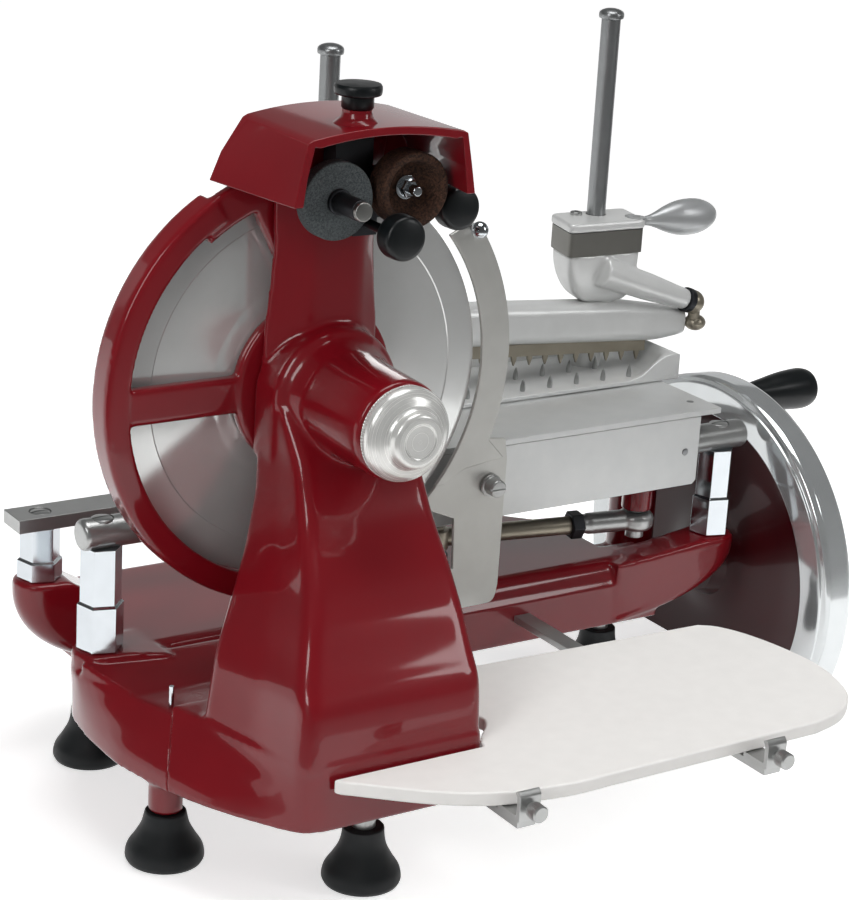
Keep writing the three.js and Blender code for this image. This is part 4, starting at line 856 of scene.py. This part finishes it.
def makeRod():
    shaft = cylinder("x", (0, 0, rodZ), 8, 40, rodLength - 8, soft=1.2)
    far = (rodLength, 0, 0)
    top = rodZ + 12
    nut = lathe("z", far, [(0, rodZ + 8), (9, rodZ + 8), (9, top - 0.8), (8, top), (0, top)], 6)
    solids = [shaft, cylinder("z", far, 12, rodZ - 9, rodZ + 9, soft=1.4),
              cylinder("z", far, 6.5, 138.6, rodZ + 8, 48), nut]
    piece("connectingRod", [onRod(s) for s in solids], bronzedSteel, "connecting_rod", "connecting_rod")
    eye = soften([(6, rodZ - 8), (13, rodZ - 8), (16, rodZ - 4), (16, rodZ + 4), (13, rodZ + 8),
                  (6, rodZ + 8)], 2.2, 5)
    shank = rounded("x", (0, 0, rodZ), [(0, 12), (9.5, 12), (9.5, 47), (8.6, 50), (8.6, 54), (0, 54)], 1)
    piece("rodEnd", fused([onRod(lathe("z", (0, 0, 0), eye, 96)), onRod(shank)], 0.6, 3), groundSteel,
          "connecting_rod", "rod_end", 180)
    hexagon = [(0, 54.3), (11.6, 54.3), (12.7, 55.2), (12.7, 65.1), (11.6, 66), (0, 66)]
    hexNut = lathe("x", (0, 0, rodZ), hexagon, 6)
    piece("rodJamNut", [onRod(hexNut)], oiledSteel, "connecting_rod", "rod_jam_nut", 24, 0.4)


makeCarriage()
makeRod()
print("slicer: carriage and rod done")

# meat table, its uprights and its feed screw
tray = {"floor": 263.0, "left": 180.0, "right": 600.0, "front": 58.0, "back": 236.0, "spikePitch": 29.0}
uprightX, uprightY, uprightR = (540.0, 257.0), 120.0, 8.4
feedX, feedZ = 400.0, 247.0


def spikeRow(y, first, count):
    # each spike is a slim leaf-shaped cone: its radius swells a little above the floor and ends in a point
    profile = np.array([(0, -1), (2.0, -0.8), (2.4, 2.5), (2.0, 6), (1.0, 9.5), (0, 11.4)])
    return [lathe("z", (first - i * tray["spikePitch"], y, tray["floor"]), profile, 12) for i in range(count)]


def makeMeatTable():
    t = tray
    near = smoothLine([(548, 263.2), (560, 266.6), (572, 274.6), (584, 281.2), (597, 283)], 30)
    far = smoothLine([(578, 263.2), (586, 265.4), (591, 270.5), (594, 277.5), (597, 283)], 30)
    y = np.array([58.2, 60, 63, 66, 69, 72, 76, 82, 90, 150])
    share = np.interp(y, [62, 70, 80], [0, 0.5, 1])[:, None, None]
    corners = np.broadcast_to([(601, 281.6), (601, 259.4), (548, 259.4)], (len(y), 3, 2))
    flat = np.concatenate([near * (1 - share) + far * share, corners], axis=1)
    end = join(flat[..., 0], y[:, None], flat[..., 1])
    floor = soften([(t["left"], t["front"]), (t["right"] + 0.6, t["front"]), (t["right"] + 0.6, t["back"]),
                    (t["left"], t["back"])], np.array([3, 4, 14, 14.0]), 6)
    piece("meatTrayFloor", [plate(floor, "z", 259, t["floor"])], castAluminium, "meat_table",
          "meat_table", 30, 1.0)
    piece("meatTrayEnd", [loft(end, True)], castAluminium, "meat_table", None, 40, 0.8)
    piece("meatTrayFence", [block(t["left"], t["right"], 148, 153, 261, 296)], castAluminium,
          "meat_table", None, 30, 1.0)
    collars = [cylinder("z", (x, uprightY, 0), 14, 261, 280, soft=1.5) for x in uprightX]
    nut = block(feedX - 16, feedX + 16, 152, 172, feedZ + 6, 261)
    piece("uprightCollars", [*collars, nut], castAluminium, "meat_table", None, 30)
    rows = [*spikeRow(70, 553, 11), *spikeRow(102, 538.5, 11)]
    piece("traySpikes", rows, groundSteel, "meat_table", None, 50)
    for side, x, top in (("right", uprightX[0], 585), ("left", uprightX[1], 566)):
        r = uprightR
        dome = arc(0, 0, 1, 0, 90, 9) * (r + 2.6, 5) + (0, top - 5)
        profile = np.concatenate([[(0, 259.2), (r, 259.2), (r, top - 9.4), (r + 2.2, top - 8.6),
                                   (r + 2.6, top - 7.6)], dome])
        profile[-1, 0] = 0
        piece("upright_" + side, [lathe("z", (x, uprightY, 0), profile)], uprightSteel, "meat_table",
              "upright_" + side, 34)
    screw = lathe("y", (feedX, 0, feedZ), [(0, 31), (4.4, 31), (5, 32), (5, 246), (0, 246)], 48)
    piece("feedScrew", [screw], groundSteel, "feed", "feed_screw")
    knob = soften([(0, 237), (9, 237), (10, 242), (17, 245), (18, 248), (18, 259), (16, 262), (0, 262)],
                  1.6, 4, False)
    grip = lambda y, turn: np.where((y > 246.5) & (y < 260.5), -0.5 * (0.5 - 0.5 * np.cos(24 * turn)), 0.0)
    piece("feedKnob", [lathe("y", (feedX, 0, feedZ), knob, 240, grip)], blackPlastic, "feed", "feed_knob")


makeMeatTable()
print("slicer: meat table done")

# pusher that holds the meat down: head, band, arm, toothed bar and lever
pusher = {"headZ": 402.0, "grain": 1.2, "passes": 6}
headPlan = np.array([(-45, -21), (35, -26), (44, 21), (-35, 25)], float)
headCentre, leverPin = (536.0, 111.0), (569.0, 98.0)
armStart, armEnd = (527.0, 90.0, 358.0), (637.0, 92.0, 318.5)


def headLoft(levels, corner=6.0):
    # the head's plan at each height, scaled about its middle, which moves along X by the third value
    scale, z, shift = np.array(levels, float).T
    centre = join(headCentre[0] + shift, headCentre[1])[:, None]
    return atHeights(soften(centre + headPlan * scale[:, None, None], corner * scale[:, None], 6), z)


def makePusher():
    top = pusher["headZ"]
    capPlate = headLoft([(0.985, top - 8, 0), (1.0, top - 7.4, 0), (1.0, top - 1.4, 0), (0.985, top - 0.4, 0),
                         (0.96, top, 0)])
    core = headLoft([(0.84, top - 34, 0), (0.84, top - 6, 0)])
    z = np.linspace(326.5, top - 30, 24)
    share = np.sqrt(1 - ((top - 30 - z) / (top - 30 - 326)) ** 2)
    bowl = headLoft(join(0.4 + 0.54 * share, z, 9 * (1 - share)), 9)
    neck = cylinder("z", (545, 112, 0), 13.5, 320, 330, 48)
    length = math.dist(armStart, armEnd)
    arm = along(lathe("x", (0, 0, 0), [(0, 0), (12.4, 0), (13.5, 1.2), (12.6, length / 2), (9.8, length - 16),
                                       (9.4, length - 10.5), (0, length - 10.5)], 96), armStart, armEnd)
    hole = cylinder("z", (uprightX[0], uprightY, 0), 9.2, 300, 430)
    seat = cylinder("z", (*leverPin, 0), 10.8, 397.2, 410)
    piece("pusherHead", fused([capPlate, core, bowl, neck, arm], pusher["grain"], pusher["passes"],
                              [hole, seat]), castAluminium, "pusher", "pusher_head", 40)
    collar = along(cylinder("x", (0, 0, 0), 11.4, length - 10.2, length - 4, soft=0.8), armStart, armEnd)
    piece("armCollar", [collar], oiledSteel, "pusher")
    band = headLoft([(0.97, top - 29.6, 0), (0.97, top - 8.4, 0)])
    piece("pusherBand", [band], bandSteel, "pusher", "pusher_band", 60)
    x, y, z0 = armEnd
    half = arc(0, 0, 1, -90, 90, 33)
    upper = lathe("z", armEnd, half * 11, 96)
    lower = lathe("z", (x + 5.8, y + 1, z0 - 20.2), half * (10, 7.5), 96)
    link = cylinder("z", (x + 3, y, 0), 5.5, z0 - 20, z0 - 4, 48)
    piece("pusherBalls", [upper, lower, link], bronzedSteel, "pusher", "pusher_joint", slot="dark_steel")
    screw = rounded("z", (521, 124, top), [(0, -1), (5.4, -1), (5.4, 2.6), (0, 3.6)], 0.9, 48)
    cross = [block(515, 527, 123.4, 124.6, top + 1.6, top + 5),
             block(520.4, 521.6, 118, 130, top + 1.6, top + 5)]
    piece("headScrew", cutOut([screw], cross), groundSteel, "pusher")
    pin = cylinder("z", (*leverPin, 0), 3, 394, top, 48, 0.5)
    piece("leverPin", [pin], groundSteel, "pusher")
    makeToothedBar()
    makeLever()
    sleeve = soften([(9, 306), (15, 306), (15, 350), (9, 350)], 1, 3)
    collarLeft = lathe("z", (uprightX[1], uprightY, 0), sleeve)
    lugLeft = block(uprightX[1] + 8, uprightX[1] + 12.7, 94, 116, 312, 342)
    piece("guideCollar", [collarLeft, lugLeft], castAluminium, "pusher", "guide_collar", 30)


barLevels = [(273, 15, 303, 343.5), (420, 17, 299, 335.5), (560, 17, 288, 324.5), (598, 16, 285, 317.5),
             (618, 13, 286, 313.5), (632, 11, 287, 310.5), (640, 9, 290, 307)]


def makeToothedBar():
    # a squared-off ellipse carried along the bar, drawn in to a rounded end
    x = np.concatenate([np.linspace(273, 630, 60), 630 + 10 * np.sin(np.linspace(0.12, np.pi / 2, 12))])
    table = np.array(barLevels, float)
    half, low, high = (eased(table[:, [0, k]], x, 8)[:, None] for k in (1, 2, 3))
    shrink = np.sqrt(np.clip(1 - (np.maximum(x - 630, 0) / 10.6) ** 2, 0.05, 1))[:, None]
    left = np.sqrt(np.clip(1 - (np.maximum(279 - x, 0) / 6.5) ** 2, 0.2, 1))[:, None]
    turn = np.linspace(0, 2 * np.pi, 72, endpoint=False)
    c, s = np.cos(turn), np.sin(turn)
    y = 104 + np.sign(c) * np.abs(c) ** 0.55 * half * shrink * left
    z = (low + high) / 2 + np.sign(s) * np.abs(s) ** 0.55 * (high - low) / 2 * shrink * left
    bar = loft(join(x[:, None], y, z))
    cutters = [cylinder("z", (u, uprightY, 0), 9.2, 260, 370, 48) for u in uprightX]
    cutters.append(cylinder("z", (armEnd[0] + 5.8, armEnd[1] + 1, 0), 10.8, 278, 312, 48))
    cutters.append(lathe("z", armEnd, arc(0, 0, 12.2, -90, 90, 17), 48))
    piece("toothedBar", cutOut([bar], cutters), castAluminium, "pusher", "toothed_bar", 40)
    x0, x1, slant = 290.0, 588.0, 0.0647
    low = lambda x: 296.3 - slant * (x - x0)
    teeth = [plate([(x - 3, low(x) + 2), (x - 2.2, low(x) - 3), (x, low(x) - 8.6), (x + 2.2, low(x) - 3),
                    (x + 3, low(x) + 2)], "y", 95.2, 97.6) for x in np.arange(x0 + 18, x1 - 4, 17.0)]
    strip = plate([(x0, low(x0)), (x1, low(x1)), (x1, low(x1) + 11), (x0, low(x0) + 11)], "y", 94.6, 98.2)
    piece("toothStrip", [strip, *teeth], bronzedSteel, "pusher", None, 30)


def makeLever():
    # a teardrop a little flatter than it is wide, whose thin neck ends in a flat eye let into the head
    x0, y0, z0 = (*leverPin, 397.5)
    path = smoothLine([(7.5, 2.8), (9.5, 4.2), (15, 5.2), (23, 8), (33, 12), (45, 15.5), (57, 16.6),
                       (69, 15.8), (79, 12.5), (86, 8), (89.4, 3)], 60)[:, ::-1]
    points, groups = lathe("x", (0, 0, 0), np.concatenate([[(0, 7.5)], path, [(0, 90)]]))
    drop = (points * [1, 0.85, 1] + [x0, y0, z0], groups)
    eye = cylinder("z", (x0, y0, 0), 8.6, z0, pusher["headZ"])
    hole = cylinder("z", (x0, y0, 0), 3.3, 380, 410, 32)
    piece("wingLever", fused([drop, eye], 0.7, 4, [hole]), satinNickel, "lever", "wing_lever", 40)


makePusher()
print("slicer: pusher done")

# sharpener: cover with its knob, two abrasive wheels and their push knobs
hood = {"x": 148.0, "low": 502.0, "shoulder": 549.5, "crown": 555.5, "front": -148.0, "back": -47.0,
        "wall": 6.0}
hoodKnobAt, greyAt, brownAt = (135.5, -122.0), (122.0, 0, 498.5), (184.0, 0, 503.0)
knobPlaces = {"left": (159, -148, 475.5, -91), "right": (233.4, -106, 482.8, -70.6)}


def hoodRings(y, grow, foot):
    # slanting sides that are wider at the rear, up to a shoulder, and a low crown between the shoulders
    h = hood
    share = ((y - h["front"]) / (h["back"] - h["front"]))[:, None]
    low, middle, top = 76 + 14 * share + grow, 72 + 9 * share + grow, 67 - 3 * share + grow
    t = np.linspace(-1, 1, 31)
    rise = np.broadcast_to(h["shoulder"] + (h["crown"] - h["shoulder"]) * (1 - t ** 2) + grow, (len(y), 31))
    level = lambda z: np.full((len(y), 1), z)
    shoulder = h["shoulder"] - 2 + grow * 0.5
    x = np.concatenate([low, middle, top, -t * (top - 4), -top, -middle, -low], axis=1) + h["x"]
    z = np.concatenate([level(foot), level(523.0), level(shoulder), rise, level(shoulder), level(523.0),
                        level(foot)], axis=1)
    return loft(join(x, y[:, None], z), True)


def makeHood():
    h = hood
    (kx, ky), c = hoodKnobAt, h["crown"]
    shell = hoodRings(np.linspace(h["front"], h["back"], 12), 0, h["low"])
    room = hoodRings(np.array([h["front"] - 4, h["back"] - 6]), -h["wall"], h["low"] - 9)
    flare = smoothLine([(17.5, c - 1.5), (14.6, c + 0.8), (12.2, c + 3.4), (11.2, c + 6.4),
                        (11, c + 9.2)], 24)
    boss = lathe("z", (kx, ky, 0), np.concatenate([[(0, c - 5), (18, c - 5)], flare, [(0, c + 9.2)]]), 96)
    lip = block(78, 112, h["back"] - 14, h["back"] + 2, h["low"] - 12, h["low"] + 12)
    piece("sharpenerHood", cutOut([shell], [room, lip]), redEnamel, "sharpener", "sharpener_hood", 30, 1.6)
    piece("hoodBoss", [boss], redEnamel, "sharpener", None, 40)
    low = [(0, 550.1), (6, 550.1), (6, c + 9.7), (11.2, c + 9.7), (11.8, c + 10.4), (11.8, 573.8)]
    rim = smoothLine([(13.4, 574.4), (16.6, 575.2), (17.4, 577.2), (17.4, 580.8), (16.4, 582.8)], 24)
    knob = np.concatenate([low, rim, [(9, 583.4), (0, 583.5)]])
    piece("hoodKnob", [lathe("z", (kx, ky, 0), knob, 96)], blackPlastic, "sharpener", "sharpener_knob", 50)
    fromNode("sharpenerBracket", "sharpener_bracket", oiledSteel, "sharpener", 0.8)


def makeStones():
    piece("greyStone", [cylinder("y", greyAt, 29, -124.5, -113, 192, 1.2, 4)], greyStone, "grey_wheel",
          "grinding_wheel_grey")
    solids = [cylinder("y", greyAt, 7.8, -156, -128, soft=0.7),
              cylinder("y", greyAt, 9.6, -128.4, -124.2, soft=0.8),
              cylinder("y", greyAt, 6, -113.5, -88)]
    piece("greySpindle", solids, oiledSteel, "grey_wheel")
    tip = rounded("y", greyAt, [(0, -160), (7, -160), (7.4, -156.2), (0, -156.2)], 0.8)
    piece("greySpindleEnd", [tip], spindleSteel, "grey_wheel")
    cup = [(0, -115), (18, -115), (22.5, -129.6), (27.6, -130), (28.5, -128.6), (28.5, -109), (0, -109)]
    piece("brownStone", [rounded("y", brownAt, cup, 1.4, 192, 4)], brownStone, "brown_wheel",
          "grinding_wheel_brown")
    stem = rounded("y", brownAt, [(0, -133), (3.4, -133), (4, -131.8), (4, -116), (0, -116)], 0.5, 48)
    nut = lathe("y", brownAt, [(0, -123.6), (6, -123.6), (7, -122.8), (7, -116.8), (0, -116.8)], 6)
    solids = [cylinder("y", brownAt, 9, -117, -114.8, soft=0.5), stem, nut,
              cylinder("y", brownAt, 6, -109.5, -88, 48)]
    piece("brownSpindle", solids, chrome, "brown_wheel", None, 30)
    for side, (x, y, z, end) in knobPlaces.items():
        head = smoothLine([(13, y - 13), (15.4, y - 11.8), (16.6, y - 9.4), (16.8, y - 3), (16.6, y + 2),
                           (14, y + 6), (8, y + 9), (3.6, y + 10.6)], 40)
        profile = np.concatenate([[(0, y - 13)], head, [(3.5, end), (0, end)]])
        piece("pushKnob_" + side, [lathe("y", (x, 0, z), profile, 96)], blackPlastic, "push_knob_" + side,
              "push_knob_" + side, 60)


makeHood()
makeStones()
print("slicer: sharpener done")

# parts that stay as the model has them, with a finish of their own
kept = {"bottom_cover": oiledSteel, "seam_pin": chrome, "crank": oiledSteel, "cross_shaft": oiledSteel,
        "drive_chain": oiledSteel, "flywheel_shaft": groundSteel, "blade_shaft": groundSteel}
for name, material in kept.items():
    nodes[name].data.materials.clear()
    nodes[name].data.materials.append(material)
left = sorted(n for n, o in nodes.items() if not o.hide_render and n not in kept)
print("slicer: CAD nodes still shown without a finish:", left)

# stage, lights and camera
studio = {"world": 0.42, "floor": "#f6f6f6", "lift": 0.66, "tableEdge": 632.0, "reach": 9000.0}
drapes = {"near": 850, "far": 2900, "fade": 420.0, "low": 0.62, "middle": 0.20, "high": 0.08,
          "rear": (-15.0, 125.0), "rearGlow": 0.5}


def added(owner, a, b):
    return addNode(owner, "ShaderNodeMath", links=[(0, a), (1, b)], operation="ADD",
                   use_clamp=True).outputs[0]


def makeWorld():
    # white where the camera sees it, also in a reflection or through glass, and dimmer as a light
    world = bpy.data.worlds.new("studio")
    scene.world = world
    world.use_nodes = True
    rays = addNode(world, "ShaderNodeLightPath").outputs
    seen = added(world, added(world, rays["Is Camera Ray"], rays["Is Glossy Ray"]),
                 rays["Is Transmission Ray"])
    level = addNode(world, "ShaderNodeMapRange", [("To Min", studio["world"]), ("To Max", 1.0)],
                    [("Value", seen)])
    back = world.node_tree.nodes["Background"]
    back.inputs["Color"].default_value = (1, 1, 1, 1)
    feed(world, back.inputs["Strength"], level.outputs["Result"])


def makeFloor():
    m, shader = newMaterial("paleStudioPaper", Roughness=0.9, Specular_IOR_Level=0.1)
    shader.inputs["Base Color"].default_value = colour(studio["floor"])
    rays = addNode(m, "ShaderNodeLightPath").outputs
    seen = added(m, rays["Is Camera Ray"], rays["Is Glossy Ray"])
    lift = addNode(m, "ShaderNodeMath", [(1, studio["lift"])], [(0, seen)], operation="MULTIPLY")
    shader.inputs["Emission Color"].default_value = (1, 1, 1, 1)
    feed(m, shader.inputs["Emission Strength"], lift.outputs[0])
    edge, far = studio["tableEdge"], studio["reach"]
    for name, solid in (("tableTop", block(-far, edge, -far, far, -40, -0.1)),
                        ("studioFloor", block(-far, far, -far, far, -140, -97.5))):
        obj = linked(name, toMesh(name, [solid]))
        obj.data.materials.append(m)


def aim(obj, *columns):
    # three directions and a place become the object's matrix
    obj.matrix_world = Matrix([*join(*np.array(columns, float)).tolist(), [0, 0, 0, 1]])


def areaLamp(name, place, target, size, power, height=None):
    lamp = bpy.data.lights.new(name, "AREA")
    lamp.shape, lamp.size, lamp.size_y, lamp.energy = "RECTANGLE", size, height or size, power
    obj = linked(name, lamp)
    way = np.array(target, float) - np.array(place, float)
    way /= np.linalg.norm(way)
    side = np.cross(way, [0, 0, 1.0])
    side /= np.linalg.norm(side)
    up = np.cross(side, way)
    aim(obj, side, up, -way, place)


def makeLamps():
    middle = (0.2, 0.2, 0.3)
    areaLamp("softboxLeft", (-1.9, -0.9, 1.5), middle, 0.7, 22, 1.6)
    areaLamp("softboxTop", (0.3, 0.1, 2.3), middle, 1.2, 20)
    areaLamp("softboxRight", (1.8, -1.7, 1.3), middle, 0.5, 12, 1.4)


def ringWall(radius, start, end, low, high):
    # a thin curved wall round the middle of the studio, between two headings
    cx, cy = zeroPoint[0] + 200, zeroPoint[1] + 200
    inside, outside = arc(cx, cy, radius, start, end, 60), arc(cx, cy, radius + 20, end, start, 60)
    return plate(np.concatenate([inside, outside]), "z", low, high)


def studioCloth(name, low, middle, high):
    # cloth whose glow falls off with its height
    m, shader = newMaterial(name, Roughness=1.0, Specular_IOR_Level=0.0)
    shader.inputs["Base Color"].default_value = (0, 0, 0, 1)
    height = addNode(m, "ShaderNodeSeparateXYZ", links=[("Vector", place(m))]).outputs["Z"]
    share = addNode(m, "ShaderNodeMapRange", links=[("Value", height)],
                    values=[("From Min", 0.0), ("From Max", drapes["fade"] / 1000)]).outputs["Result"]
    glow = ramp(m, share, [(0.0, low), (0.35, middle), (1.0, high)])
    feed(m, shader.inputs["Emission Color"], glow)
    shader.inputs["Emission Strength"].default_value = 1.0
    return m


def makeDrapes():
    # cloth seen only in reflections: it gives the gloss and the metal dark tones, and no light
    d = drapes
    graded = studioCloth("gradedStudioCloth", d["low"], d["middle"], d["high"])
    pale = studioCloth("paleStudioCloth", d["rearGlow"], d["rearGlow"], d["rearGlow"])
    walls = {"lowFlag": (ringWall(d["near"], -172, 12, 0, 560), graded),
             "highDrape": (ringWall(d["far"], d["rear"][1], d["rear"][0] + 360, 400, d["far"]), graded),
             "rearDrape": (ringWall(d["far"], *d["rear"], 100, 1500), pale),
             "rearDrapeHigh": (ringWall(d["far"], *d["rear"], 1500, d["far"]), graded),
             "ceilingDrape": (block(-d["far"], 3500, -3300, 3200, d["far"], d["far"] + 20), graded)}
    for name, (solid, m) in walls.items():
        obj = linked(name, toMesh(name, [solid]))
        obj.data.materials.append(m)
        obj.visible_camera = obj.visible_diffuse = obj.visible_shadow = False


view = {"heading": 33.749, "pitch": 18.356, "roll": 3.400, "place": (-0.91524, -1.42290, 0.90279),
        "lens": 100.99}


def makeCamera():
    # heading turns from +Y towards +X, pitch looks down, and roll turns the frame about the line of sight
    heading, pitch, roll = (math.radians(view[k]) for k in ("heading", "pitch", "roll"))
    ahead = np.array([math.sin(heading) * math.cos(pitch), math.cos(heading) * math.cos(pitch),
                      -math.sin(pitch)])
    right = np.array([math.cos(heading), -math.sin(heading), 0])
    up = np.cross(right, ahead)
    across = math.cos(roll) * right + math.sin(roll) * up
    upright = -math.sin(roll) * right + math.cos(roll) * up
    lens = bpy.data.cameras.new("view")
    lens.lens, lens.sensor_width, lens.sensor_fit = view["lens"], 36, "AUTO"
    lens.clip_start, lens.clip_end = 0.05, 50
    scene.camera = linked("view", lens)
    aim(scene.camera, across, upright, -ahead, view["place"])


makeWorld()
makeFloor()
makeLamps()
makeDrapes()
makeCamera()
scene.view_settings.view_transform = "Standard"
print("slicer: stage, lamps and camera ready")
